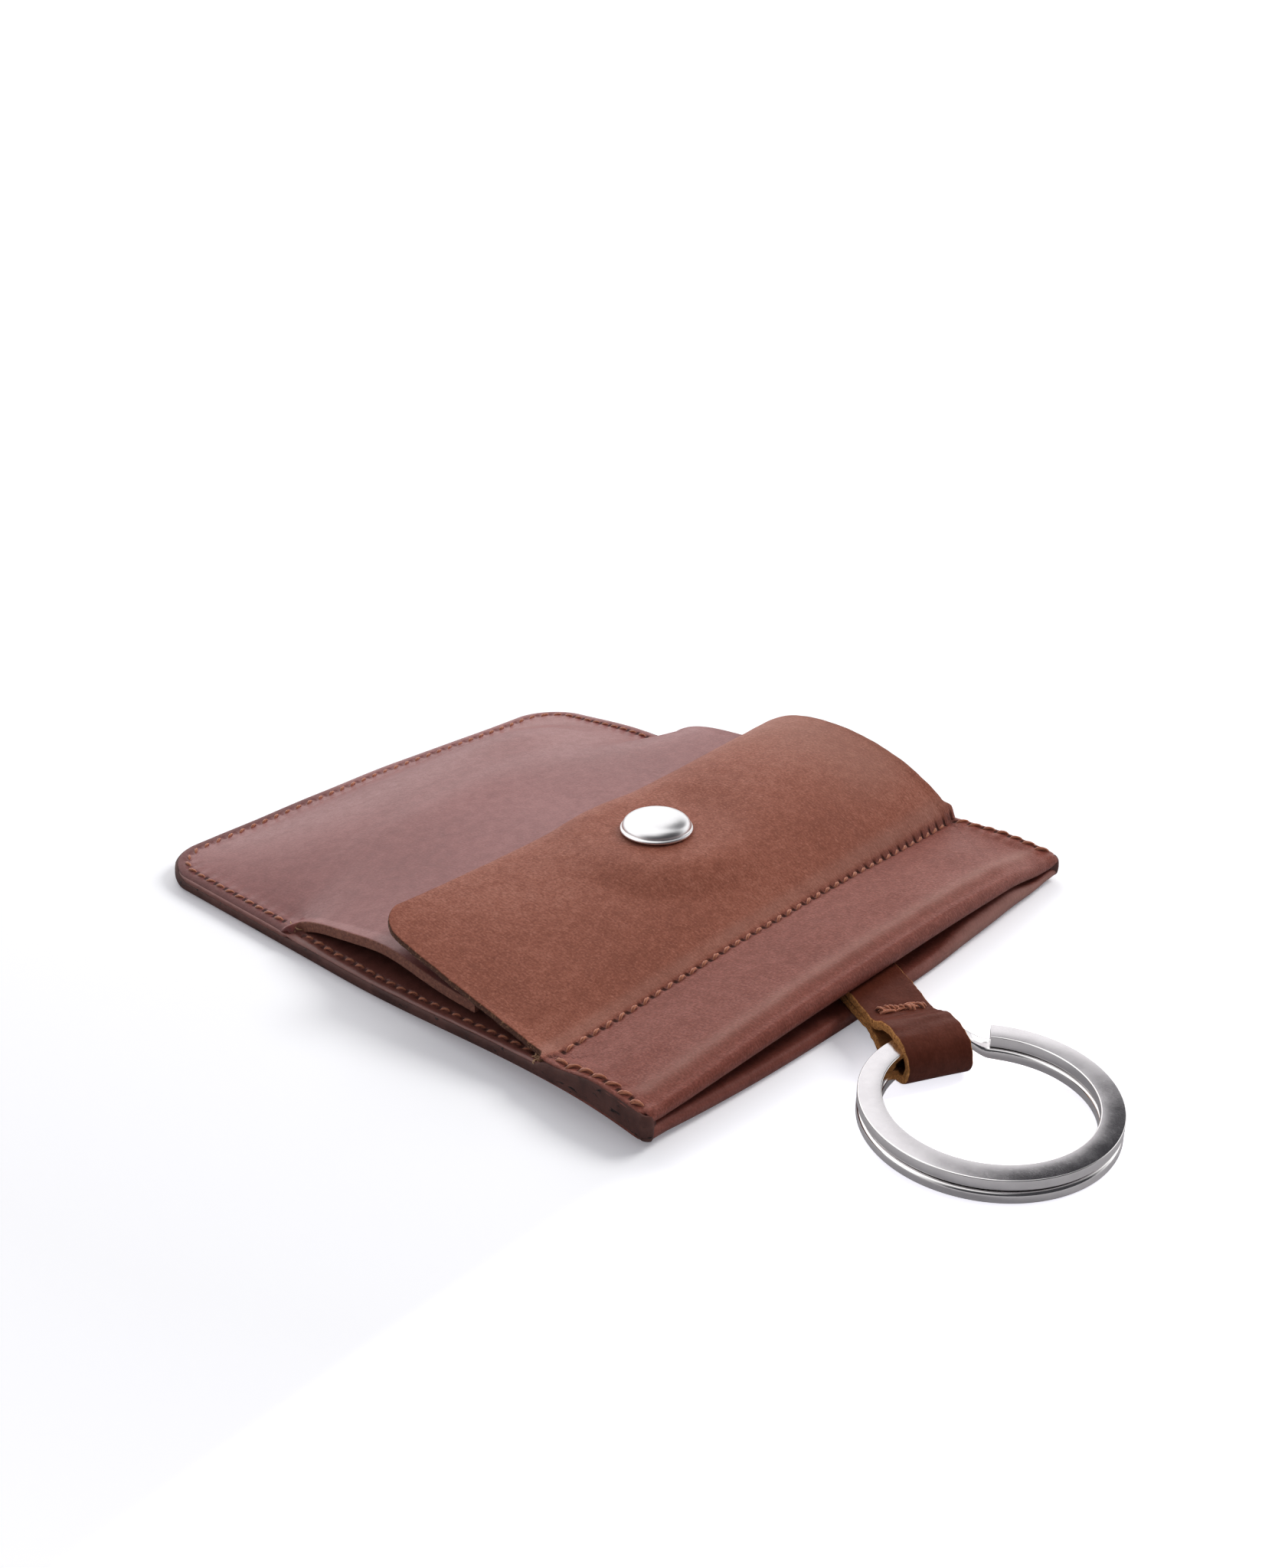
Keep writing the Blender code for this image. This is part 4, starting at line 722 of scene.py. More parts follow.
def unrolled(grid):
    """Flat coordinates of a surface: its x and the length along its middle column from the first row."""
    steps = np.linalg.norm(np.diff(grid, axis=0), axis=-1)[:, grid.shape[1] // 2]
    along = np.concatenate([[0.0], np.cumsum(steps)])[:, None]
    return np.stack(np.broadcast_arrays(grid[..., 0], along, 0.0), axis=-1)


def fold_rows(fold_y, centre_z, radius, steps, x):
    """Half turn from the lower side round the front to the upper side, at the outer radius."""
    turns = np.linspace(-QUARTER_TURN, QUARTER_TURN, steps)[:, None]
    y, z = fold_y - radius * np.cos(turns), centre_z + radius * np.sin(turns)
    return np.stack(np.broadcast_arrays(x, y, z), axis=-1)


# Leathers


def make_back_leather():
    """Back leather with its mouth edge turned in: its underside is back_under, and the lower lip is a half turn."""
    nominal = np.concatenate([spaced(MOUTH_Y + 0.6, ROUND_Y - RIM_WIDTH, 0.9), up_to(ROUND_Y)])
    mouth_x = column_places(np.array([MOUTH_HALF]), BACK_COLUMNS)[0]
    share = lip_share(mouth_x)
    fuller = 0.5 * ease(mouth_x, 11.0, 10.0) * ease(mouth_x, 40.0, -9.0)
    hem_radius = LEATHER + 0.5 * PLY_GAP + HEM_FULLNESS * (1.0 - np.abs(share) ** PUFF_POWER)
    radius = hem_radius * (1.0 - 0.38 * far_press(mouth_x)) + fuller
    fold_y = mouth_line(share) + radius
    width = outline_half(nominal)
    x, y = column_places(width, BACK_COLUMNS), lip_y(nominal, fold_y)
    bulge = 0.10 * ripple(x, y, (30.0, 14.0), 5) * ease(outline_half(y) - np.abs(x), 0.0, 6.0)
    panel = np.stack([x, y, back_under(x, y) + np.maximum(bulge, 0.0)], axis=-1)
    base = back_under(mouth_x, np.full_like(mouth_x, MOUTH_Y))
    fold = fold_rows(fold_y, base + radius, radius, 13, mouth_x)
    hem_y = between(fold_y, MOUTH_Y + HEM_WIDTH, np.linspace(0.0, 1.0, 9)[1:, None])
    hem_x = np.broadcast_to(mouth_x, hem_y.shape)
    hem = np.stack([hem_x, hem_y, back_under(hem_x, hem_y) + 2.0 * radius], axis=-1)
    grid = skew_end(np.concatenate([hem[::-1], fold[::-1], panel]))[:, ::-1]
    turned_in = np.tile(width[0] - np.abs(mouth_x), (len(hem) + len(fold), 1))
    ends = [(MOUTH_Y + HEM_WIDTH - hem_y)[::-1], np.full(fold.shape[:2], NO_EDGE_NEAR), each_row(ROUND_Y - nominal, x)]
    rim = np.minimum(np.concatenate([turned_in, edge_distance(x, width)]), np.maximum(np.concatenate(ends), 0.0))
    folded, painted_highlight = np.zeros(grid.shape[:2]), np.zeros(grid.shape[:2])
    folded[:len(hem)] = 0.8
    # Painted highlight along the front of the lower lip's fold, towards the far side.
    across_fold = np.sin(np.linspace(0.0, HALF_TURN, len(fold)))[:, None] ** 2
    painted_highlight[len(hem):len(hem) + len(fold)] = -0.4 * ease(mouth_x[::-1], 0.0, 20.0) * across_fold
    item = leather_sheet("back_leather", grid, rim[:, ::-1], LEATHER_BODY, raw=folded, crease=painted_highlight)
    put(item, "pouch", ["back_panel"])


def make_divider_leather():
    """Divider between the key room and the coin pocket: its height is divider_top, sunk along the stitches."""
    front = MOUTH_Y + DIVIDER_FRONT
    nominal = np.concatenate([spaced(front, ROUND_Y - RIM_WIDTH, 0.45), up_to(ROUND_Y)])
    width = outline_half(nominal)
    x = column_places(width, DIVIDER_COLUMNS)
    y = each_row(nominal, x)
    inward, length = seam_place(x, y)
    distance, phase = inward - STITCH_INSET, length / PITCH
    open_part = ease(y, TONGUE_ROOT_Y, -2.0) * ease(y, FLAP_LINE_Y, 2.0)
    sunk = seam_dip(distance, phase) + margin_drop(inward, DIVIDER_MARGIN, DIVIDER_DROP)
    dent = 0.10 * ripple(x, y, (8.0, 4.0), 9) * bell(distance, 0.0, 2.5)
    top = divider_top(x, y) - (sunk - dent) * open_part + 0.06 * ripple(x, y, (20.0, 9.0), 8) * puff(x, y)
    item = leather_sheet(
        "divider_leather", skew_end(np.stack([x, y, top], axis=-1)),
        np.minimum(edge_distance(x, width), np.minimum(ROUND_Y - y, y - front)), LEATHER_DIVIDER,
        both_grain=True, raw=0.0, stitching=marked(distance, phase, 0.7 * open_part),
    )
    put(item, "pouch", ["front_leather"])


def make_cover_leather():
    """Front band, upper lip and flap in one piece, from under the lip to the flap's free edge.

    The height is cover_height, with a roll behind the lip, the seam's furrows and the rounded margins.
    """
    lip_x = column_places(np.array([MOUTH_HALF]), COVER_COLUMNS)[0]
    at_lip = np.full_like(lip_x, MOUTH_Y + LEATHER)
    low = divider_under(lip_x, at_lip)
    high = band_top(lip_x, at_lip) - margin_drop(MOUTH_HALF - np.abs(lip_x), BAND_MARGIN, band_drop(lip_x))
    high = high - nose_drop(lip_x, 0.0)
    radius = 0.5 * (high - low)
    fold_y = mouth_line(lip_share(lip_x)) + radius
    fold = fold_rows(fold_y, 0.5 * (low + high), radius, 19, lip_x)
    under_y = between(fold_y, MOUTH_Y + DIVIDER_FRONT, np.linspace(1.0, 0.0, 6)[:-1, None])
    under_x = np.broadcast_to(lip_x, under_y.shape)
    under = np.stack([under_x, under_y, divider_under(under_x, np.maximum(under_y, MOUTH_Y))], axis=-1)

    nominal = np.concatenate([
        spaced(MOUTH_Y + 0.35, -36.0, 0.45), spaced(-35.7, -28.2, 0.25), spaced(-27.8, FLAP_TIP_Y - RIM_WIDTH, 0.6),
        up_to(FLAP_TIP_Y),
    ])
    into = np.clip(nominal - (FLAP_TIP_Y - FLAP_CORNER_RADIUS), 0.0, FLAP_CORNER_RADIUS)
    ragged = 0.10 * ripple(nominal, 0.0 * nominal, (4.0, 1.7), 17)
    free_half = half_width(nominal) - FLAP_INSET - round_off(FLAP_CORNER_RADIUS, into) + ragged
    width = between(outline_half(nominal), free_half, ease(nominal, FLAP_LINE_Y + 0.2, 1.2))
    x, y = column_places(width, COVER_COLUMNS), lip_y(nominal, fold_y)
    behind_lip, line = y - fold_y, y - stitch_line(x)
    inward, length = seam_place(x, np.minimum(y, 0.0))
    distance, phase = inward - stitch_inset(y), length / PITCH
    on_band, sewn_line = 1.0 - ease(line, -0.3, 1.0), ease(inward, 0.0, 1.5)
    inner = ease(distance, 0.0, 3.0)
    sunk = (seam_dip(distance, phase) + band_margin_drop(x, inward)) * on_band
    sunk = sunk + 0.7 * seam_dip(line, x / PITCH) * sewn_line + nose_drop(x, behind_lip)
    roll = LIP_ROLL * (bell(behind_lip, 1.2, 2.2) - 0.45 * bell(behind_lip, 6.0, 2.6))
    hump = 0.10 * ripple(x, y, (30.0, 12.0), 3) + 0.04 * ripple(x, y, (6.0, 3.0), 4)
    pucker = 0.16 * ripple(x, y, (3.2, 2.1), 6) * bell(distance, 1.2, 1.6) * on_band
    height = cover_height(x, y) - sunk + (hump + roll) * inner + pucker
    rolled = LIP_ROLL * inner[0]
    height = between(high + rolled, height, ease(behind_lip, 0.0, 2.4))
    fold[..., 2] += rolled * smooth_step(np.linspace(-0.6, 1.0, len(fold)))[:, None]

    hidden = np.ones((len(under) + len(fold), x.shape[1]))
    rim = np.minimum(
        np.concatenate([hidden * (width[0] - np.abs(lip_x)), edge_distance(x, width)]),
        np.concatenate([hidden * NO_EDGE_NEAR, each_row(FLAP_TIP_Y - nominal, x)]),
    )
    marks = np.where(
        (np.abs(line) < np.abs(distance))[..., None], marked(line, x / PITCH, sewn_line),
        marked(distance, phase, on_band * ease(y, MOUTH_Y + 1.0, 1.5)),
    )
    # Painted highlights, broken into patches: a pale sheen band just behind the flap's stitches, a highlight along the
    # roll behind the upper lip, and a lighter patch high on the flap's far side.
    patches = 0.72 + 0.28 * ripple(x, y, (12.0, 6.0), 27)
    painted_sheen_strip = 0.42 * ease(line, 0.5, 0.6) * (1.0 - ease(line, 1.6, 1.8)) * patches
    painted_lip_highlight = 0.50 * bell(behind_lip, 2.6, 1.2) * inner * patches
    painted_far_crest_highlight = 0.45 * bell(x, 37.0, 9.0) * ease(line, 3.0, 8.0)
    # The band up to the flap's stitches gets the polished mask: lower roughness, and a painted darker, purplish sheen
    # multiplied into its colour.
    item = leather_sheet(
        "cover_leather", np.concatenate([under, fold, np.stack([x, y, height], axis=-1)]), rim, LEATHER_COVER,
        raw=np.concatenate([0.0 * hidden, ease(y, FLAP_LINE_Y, 1.0)]),
        stitching=np.concatenate([np.zeros((*hidden.shape, 3)), marks]),
        polish=np.concatenate([hidden, 1.0 - ease(line, -0.2, 1.2)]),
        crease=np.concatenate([0.0 * hidden, -np.maximum(painted_sheen_strip, np.maximum(painted_lip_highlight, painted_far_crest_highlight))]),
    )
    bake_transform(item)
    put(item, None, ["front_leather", "flap"])


def make_pocket_leather():
    """Sewn panel and free tongue of the coin pocket in one piece: its height is pocket_height."""
    nominal = np.concatenate([
        TONGUE_TIP_Y + RIM_STEPS[:-1], spaced(TONGUE_TIP_Y + RIM_WIDTH, 17.0, 0.595), spaced(17.3, 22.0, 0.3),
        spaced(22.5, ROUND_Y - RIM_WIDTH, 0.45), up_to(ROUND_Y),
    ])
    sewn = ease(nominal, TONGUE_ROOT_Y - 0.9, 1.2)
    width = between(half_width(nominal) - TONGUE_INSET, outline_half(nominal), sewn)
    x = column_places(width, POCKET_COLUMNS)
    y = each_row(nominal, x)
    inward, length = seam_place(x, y)
    distance, phase = inward - STITCH_INSET, length / PITCH
    active = ease(y, TONGUE_ROOT_Y - 0.3, 1.2)
    hump = 0.12 * ripple(x, y, (35.0, 16.0), 13) * puff(x, y)
    sunk = (seam_dip(distance, phase) + margin_drop(inward, POCKET_MARGIN, pocket_drop(x, y))) * active
    # Painted shade on the near side's margin, outside the stitch row.
    margin = (1.0 - ease(inward, STITCH_INSET - 0.6, 0.8)) * active
    item = leather_sheet(
        "pocket_leather", skew_end(np.stack([x, y, pocket_height(x, y) - sunk + hump], axis=-1)),
        np.minimum(edge_distance(x, width), np.minimum(ROUND_Y - y, y - TONGUE_TIP_Y)), LEATHER_POCKET,
        thickness=POCKET_LEATHER, crease=0.5 * margin * ease(x, 0.0, -15.0), polish=1.0,
        raw=1.0 - ease(y, TONGUE_ROOT_Y - 1.0, 1.0),
        stitching=marked(distance, phase, active * (1.0 - 0.55 * ease(y, 40.0, 4.0))),
    )
    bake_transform(item)
    put(item, None, ["pocket_panel", "pocket_tongue"])


def outline_path():
    """The pouch's outline from the near mouth corner round the closed end to the far one, with its normals."""
    mouth_x = half_width(MOUTH_Y)
    bend = np.linspace(-QUARTER_TURN, 0.0, 9)[:-1]
    turns = np.linspace(0.0, QUARTER_TURN, 18)
    wrap_x = np.linspace(mouth_x - EDGE_WRAP, mouth_x - EDGE_BEND, 4)[:-1]
    side_y = spaced(MOUTH_Y + EDGE_BEND, CORNER_Y, 0.45)[:-1]
    far = np.concatenate([
        np.stack([wrap_x, np.full_like(wrap_x, MOUTH_Y)], axis=1),
        np.stack([mouth_x - EDGE_BEND + EDGE_BEND * np.cos(bend), MOUTH_Y + EDGE_BEND * (1.0 + np.sin(bend))], axis=1),
        np.stack([half_width(side_y), side_y], axis=1),
        np.stack([CORNER_X + CORNER_RADIUS * np.cos(turns), CORNER_Y + CORNER_RADIUS * np.sin(turns)], axis=1),
    ])
    top_x = spaced(CORNER_X, -CORNER_X, 0.8)[1:-1]
    top = np.stack([top_x, np.full_like(top_x, ROUND_Y)], axis=1)
    path = np.concatenate([far, top, far[::-1] * np.array([-1.0, 1.0])])[::-1]
    along = unit(np.gradient(path, axis=0))
    return path, np.stack([-along[:, 1], along[:, 0]], axis=1)


def stack_top(x, y):
    """Top of the uppermost sewn ply along the outline, after its margin is rounded down."""
    band = band_top(x, y) - band_drop(x)
    front = between(band, divider_top(x, y) - DIVIDER_DROP, ease(y, FLAP_LINE_Y - 0.6, 2.4))
    return between(front, pocket_top(x, y) - pocket_drop(x, y), ease(y, TONGUE_ROOT_Y - 0.6, 1.2))


def way_along(path):
    return np.concatenate([[0.0], np.cumsum(np.linalg.norm(np.diff(path, axis=0), axis=1))])


def make_burnished_edge():
    """One coat of edge finish round the sewn plies: a narrow crowned bead carried along the outline.

    Its section is given as shares of the height and distances out from the outline.
    """
    path, outward = outline_path()
    x, y = path.T
    low, high = back_under(x, y) + 0.03, stack_top(x, y) + 0.06
    wave = 0.05 * ripple(x, y, (6.0, 2.3), 21)
    share, out = np.array([
        (0.0, -0.9), (0.0, -0.35), (0.04, -0.12), (0.14, 0.08), (0.32, 0.17), (0.52, 0.20), (0.72, 0.18), (0.88, 0.11),
        (0.97, -0.02), (1.0, -0.20), (0.96, -0.5), (0.90, -0.9),
    ]).T
    steps = way_along(path)
    to_end = np.minimum(steps, steps[-1] - steps)[:, None]
    reach = out + wave[:, None] * (out > -0.15) - EDGE_SINK * (1.0 - ease(to_end, 0.1, 1.3))
    plan = path[:, None, :] + outward[:, None, :] * reach[..., None]
    height = low[:, None] + (high - low)[:, None] * share
    grid = skew_end(np.concatenate([plan, height[..., None]], axis=-1))
    rows, columns = grid.shape[:2]
    ends = [np.arange(columns)[None, :], np.arange((rows - 1) * columns, rows * columns)[None, ::-1]]
    places = np.stack(np.broadcast_arrays(steps[:, None], out, height), axis=-1)
    faces = [quads(rows, columns, closed=True)[:, ::-1], *ends]
    put(mesh_object("burnished_edge", grid, faces, [BURNISHED], hide=places), "pouch", [])


# Stitches


def surface_normals(surface, x, y):
    """Up directions of a height field, from its slopes over a short step."""
    step = 0.2
    slope_x = (surface(x + step, y) - surface(x - step, y)) / (2.0 * step)
    slope_y = (surface(x, y + step) - surface(x, y - step)) / (2.0 * step)
    return unit(np.stack([-slope_x, -slope_y, np.ones_like(slope_x)], axis=-1))


def strands(name, material, centres, across, up, radii):
    """Twisted strands, all at once: strands by rings of centres, with a section of two crossed directions.

    reach = radius * (1 + a small ripple for the three plies), point = centre + reach * (cos * across + sin * up).
    """
    count, rings = centres.shape[:2]
    turns = np.linspace(0.0, WHOLE_TURN, STRAND_SIDES, endpoint=False)
    twist = np.cos(3.0 * turns[None, :] + 9.0 * np.linspace(0.0, 1.0, rings)[:, None])
    reach = radii[..., None] * (1.0 + 0.13 * twist)
    ring = np.cos(turns)[:, None] * across[..., None, :] + np.sin(turns)[:, None] * up[..., None, :]
    points = centres[..., None, :] + reach[..., None] * ring
    size = rings * STRAND_SIDES
    start = (size * np.arange(count))[:, None]
    skin = (quads(rings, STRAND_SIDES, closed=True)[None] + start[..., None]).reshape(-1, 4)
    first = np.arange(STRAND_SIDES)[None, ::-1] + start
    last = np.arange(size - STRAND_SIDES, size)[None, :] + start
    shade = np.broadcast_to(0.5 + 0.5 * twist, (count, rings, STRAND_SIDES)).ravel()
    return mesh_object(name, points, [skin, first, last], [material], hide=points, twist=shade)


def stitch_row(name, row, numbers, surface, replaced, slant, radius, lift, sink, fill, seed=1, uneven=0.0):
    """Thread bits between the awl holes of one row; bit n spans the middle share of its pitch.

    row: plan point at a length; surface: height there. Each bit bows up from the leather and dives in at its ends.
    """
    rng = np.random.default_rng(seed)
    count = len(numbers)
    share = np.linspace(-1.0, 1.0, 13)[None, :]
    half = 0.5 * fill * PITCH * rng.uniform(0.92, 1.08, (count, 1))
    tilt = slant * PITCH * rng.uniform(0.6, 1.4, (count, 1))
    swell = rng.uniform(0.88, 1.12, (count, 1))
    x, y = row((numbers[:, None] + 0.5) * PITCH + share * half)
    path = np.stack([x, y, surface(x, y) - sink], axis=-1)
    ahead = unit(np.gradient(path, axis=1))
    up = surface_normals(surface, x, y)
    up = unit(up - ahead * np.sum(up * ahead, axis=-1, keepdims=True))
    across = np.cross(up, ahead)
    bow = np.cos(QUARTER_TURN * share)
    rise = lift * np.maximum(bow, 0.0) ** 0.55 - 0.34 * (1.0 - bow) ** 2
    shift = uneven * rng.uniform(-1.0, 1.0, (2, count, 1, 1))
    centres = path + across * ((tilt * share)[..., None] + shift[0]) + up * (rise[..., None] + 0.3 * shift[1])
    lean = unit(up * np.sqrt(1.0 - 0.45 * share**2)[..., None] + ahead * (0.6 * share)[..., None])
    item = strands(name, THREAD, skew_end(centres), across, lean, radius * swell * (0.78 + 0.22 * bow))
    put(item, "pouch", [replaced])


def outline_numbers(first_y, last_y):
    """Numbers of the outline's stitches that lie between two stations on a side, counted from the round end."""
    stations = np.array([first_y, last_y])
    length = seam_place(half_width(stations), stations)[1]
    return np.arange(math.ceil(length.min() / PITCH), math.floor(length.max() / PITCH))


def make_stitches():
    def on_band(x, y):
        return band_top(x, y) - band_margin_drop(x, half_width(y) - np.abs(x))

    def round_row(length):
        x, y = row_point(np.abs(length), 1.0)
        return np.where(length < 0.0, -x, x), y

    def line_row(length):
        return length, stitch_line(length)

    band = outline_numbers(MOUTH_Y + 1.2, float(stitch_line(43.0)) - 0.6)
    middle = outline_numbers(FLAP_LINE_Y + 2.2, TONGUE_ROOT_Y - 0.4)
    for label, side, seed in (("near", -1.0, 31), ("far", 1.0, 32)):
        def row(length, side=side):
            return row_point(length, side)

        stitch_row("band_stitches_" + label, row, band, on_band, "band_thread_" + label,
                   radius=0.28, lift=0.20, sink=0.18, fill=0.72, slant=0.22, seed=seed, uneven=0.22)
        stitch_row("divider_stitches_" + label, row, middle, divider_top, "divider_thread_" + label,
                   radius=0.22, lift=0.16, sink=0.14, fill=0.58, slant=0.12, seed=seed + 2, uneven=0.18)
    last = outline_numbers(TONGUE_ROOT_Y + 0.6, ROUND_Y).max()
    stitch_row("round_end_stitches", round_row, np.arange(-last - 1, last + 1), pocket_top, "round_end_thread",
               radius=0.225, lift=0.10, sink=0.20, fill=0.60, slant=0.12, seed=41)
    stitch_row("flap_line_stitches", line_row, np.arange(-19, 19), cover_height, "flap_line_thread",
               radius=0.235, lift=0.16, sink=0.10, fill=0.68, slant=0.10, seed=51)


def make_frayed_ends():
    """Tufts of loose fibre where the side rows stop: short curled strands at the pocket's root and the flap's root."""
    rng = np.random.default_rng(81)
    tufts = (
        (half_width(TONGUE_ROOT_Y) - 1.5, TONGUE_ROOT_Y - 0.2, pocket_top, -0.25),
        (half_width(FLAP_LINE_Y) - 0.9, FLAP_LINE_Y + 1.6, divider_top, 0.1),
    )
    spots = np.array([
        (side * x, y, float(surface(np.array([side * x]), np.array([y]))[0]) + rise)
        for side in (-1.0, 1.0) for x, y, surface, rise in tufts
    ])
    count = TUFT_FIBRES * len(spots)
    middle = np.repeat(spots, TUFT_FIBRES, axis=0) + rng.normal(0.0, 0.42, (count, 3)) * np.array([0.7, 1.3, 0.45])
    heading = rng.uniform(0.0, WHOLE_TURN, count)[:, None]
    tilt = rng.uniform(-0.5, 0.7, count)[:, None]
    share = np.linspace(-1.0, 1.0, 11)[None, :]
    heading = heading + rng.uniform(-0.9, 0.9, count)[:, None] * share
    length = rng.uniform(0.25, 0.75, count)[:, None] * share
    step = np.stack(np.broadcast_arrays(np.cos(heading), np.sin(heading), tilt), axis=-1)
    centres = middle[:, None, :] + length[..., None] * step
    ahead = unit(np.gradient(centres, axis=1))
    across = unit(np.cross(ahead, UP))
    radii = rng.uniform(0.07, 0.13, count)[:, None] * np.sqrt(1.02 - share**2)
    put(strands("frayed_ends", FRAYED, centres, across, np.cross(across, ahead), radii), "pouch", [])


# Snap


def turned(name, profile, level, material, body, replaced, segments=96):
    """A profile turned round the snap's vertical line: point = (radius * cos, radius * sin, level + height).

    A profile that starts or ends on the line is closed there by a pole; a ring profile closes on itself.
    """
    profile = np.array(profile) + np.array([0.0, level])
    turns = np.linspace(0.0, WHOLE_TURN, segments, endpoint=False)
    on_line = profile[:, 0] <= 0.0
    wall = profile[~on_line]
    ring_profile = not on_line.any()
    rows = len(wall) + ring_profile
    face = quads(rows, segments, closed=True) % (segments * len(wall))
    faces = [face]
    radius, height = wall[:, 0, None], wall[:, 1, None]
    points = np.stack(np.broadcast_arrays(radius * np.cos(turns), radius * np.sin(turns), height), axis=-1)
    points = points.reshape(-1, 3)
    ring, after = np.arange(segments), np.roll(np.arange(segments), -1)
    for end, base in ((0, 0), (-1, segments * (rows - 1))):
        if on_line[end]:
            fan = np.stack([np.full(segments, len(points)), base + after, base + ring], axis=1)
            points = np.concatenate([points, [[0.0, 0.0, profile[end, 1]]]])
            faces.append(fan if end == 0 else fan[:, ::-1])
    item = mesh_object(name, points + np.array([0.0, SNAP_Y, 0.0]), faces, [material], sharp=50.0)
    put(item, body, [replaced])


def make_snap():
    """Profiles are (radius, height), the heights from the leather's or the flange's top."""
    base = [(0.0, 0.15), (1.5, 0.15), (4.22, 0.15)]
    rim_turns = np.linspace(-QUARTER_TURN, 0.42 * math.pi, 9)
    rim = [(4.72 + 0.28 * math.cos(turn), 0.47 + 0.28 * math.sin(turn)) for turn in rim_turns]
    dome_turns = np.linspace(0.0, QUARTER_TURN, 22)[1:-1]
    dome = [(4.72 * math.sqrt(math.cos(turn)), 0.75 + 1.55 * math.sin(turn)) for turn in dome_turns]
    turned("snap_cap_shell", base + rim + dome + [(0.0, 2.3)], FLAP_SNAP_TOP, NICKEL_CAP, "flap", "snap_cap")
    turned("snap_socket_shell", [
        (1.8, 0.0), (4.0, 0.0), (4.17, -0.08), (4.2, -0.3), (4.05, -0.45), (3.7, -0.52), (3.45, -0.75), (3.3, -1.18),
        (3.15, -1.3), (2.6, -1.3), (2.44, -1.2), (2.4, -1.0), (2.4, -0.4), (1.8, -0.4),
    ], SOCKET_TOP, NICKEL_SATIN, "flap", "snap_socket")
    turned("snap_stud_shell", [
        (0.0, 0.9), (1.5, 0.9), (1.78, 0.85), (1.95, 0.68), (1.95, 0.52), (1.75, 0.3), (1.8, 0.06), (2.0, 0.0),
        (3.8, 0.0), (3.97, -0.1), (4.0, -0.3), (3.9, -0.48), (1.5, -0.48), (1.5, 0.4), (0.0, 0.4),
    ], STUD_FLANGE_TOP, NICKEL_SATIN, "tongue", "snap_stud")
    turned("snap_post_shell", [
        (0.0, 0.18), (1.2, 0.18), (1.3, 0.1), (1.3, -1.6), (3.45, -1.6), (3.58, -1.7), (3.6, -1.82), (3.4, -1.98),
        (0.8, -2.0), (0.6, -1.85), (0.0, -1.82),
    ], STUD_FLANGE_TOP, NICKEL_SATIN, "tongue", "snap_post")


# Strap


def on_strap(reach, across, height):
    """Points at distances along the strap, across it and up, from its pivot between the lips."""
    places = np.stack(np.broadcast_arrays(reach, across, height), axis=-1)
    return STRAP_PIVOT + places @ np.array([STRAP_OUT, STRAP_SIDE, UP])


def smooth_path(knots, share):
    """Points on a smooth curve through knots, evenly numbered: each piece is a cubic with the neighbours' slopes."""
    slopes = np.gradient(knots, axis=0)
    place = share * (len(knots) - 1)
    index = np.minimum(place.astype(int), len(knots) - 2)
    part = (place - index)[:, None]
    first, way = knots[index], knots[index + 1] - knots[index]
    bend = part * (1.0 - part) * ((1.0 - part) * (slopes[index] - way) - part * (slopes[index + 1] - way))
    return first + way * part + bend


def strap_profile():
    """Middle line of the doubled strap as (reach, height): upper ply, sag, loop round the ring, and back below."""
    knots = np.array([
        (-4.2, 0.68), (0.0, 0.68), (4.0, 0.68), (8.0, 0.60), (TACK_REACH, TACK_LEVEL), (14.2, 0.48), (15.9, 1.22),
        (17.4, 1.80), (19.2, 1.92), (21.1, 1.78), (22.7, 1.05), (23.5, -0.45), (23.0, -2.02), (21.4, -2.84),
        (19.4, -2.86), (17.4, -2.50), (15.6, -1.85), (14.0, -1.22), (TACK_REACH, -0.90), (9.4, -0.68), (4.6, -0.66),
        (0.0, -0.66), (-4.2, -0.66),
    ])
    return smooth_path(knots, np.linspace(0.0, 1.0, 199))


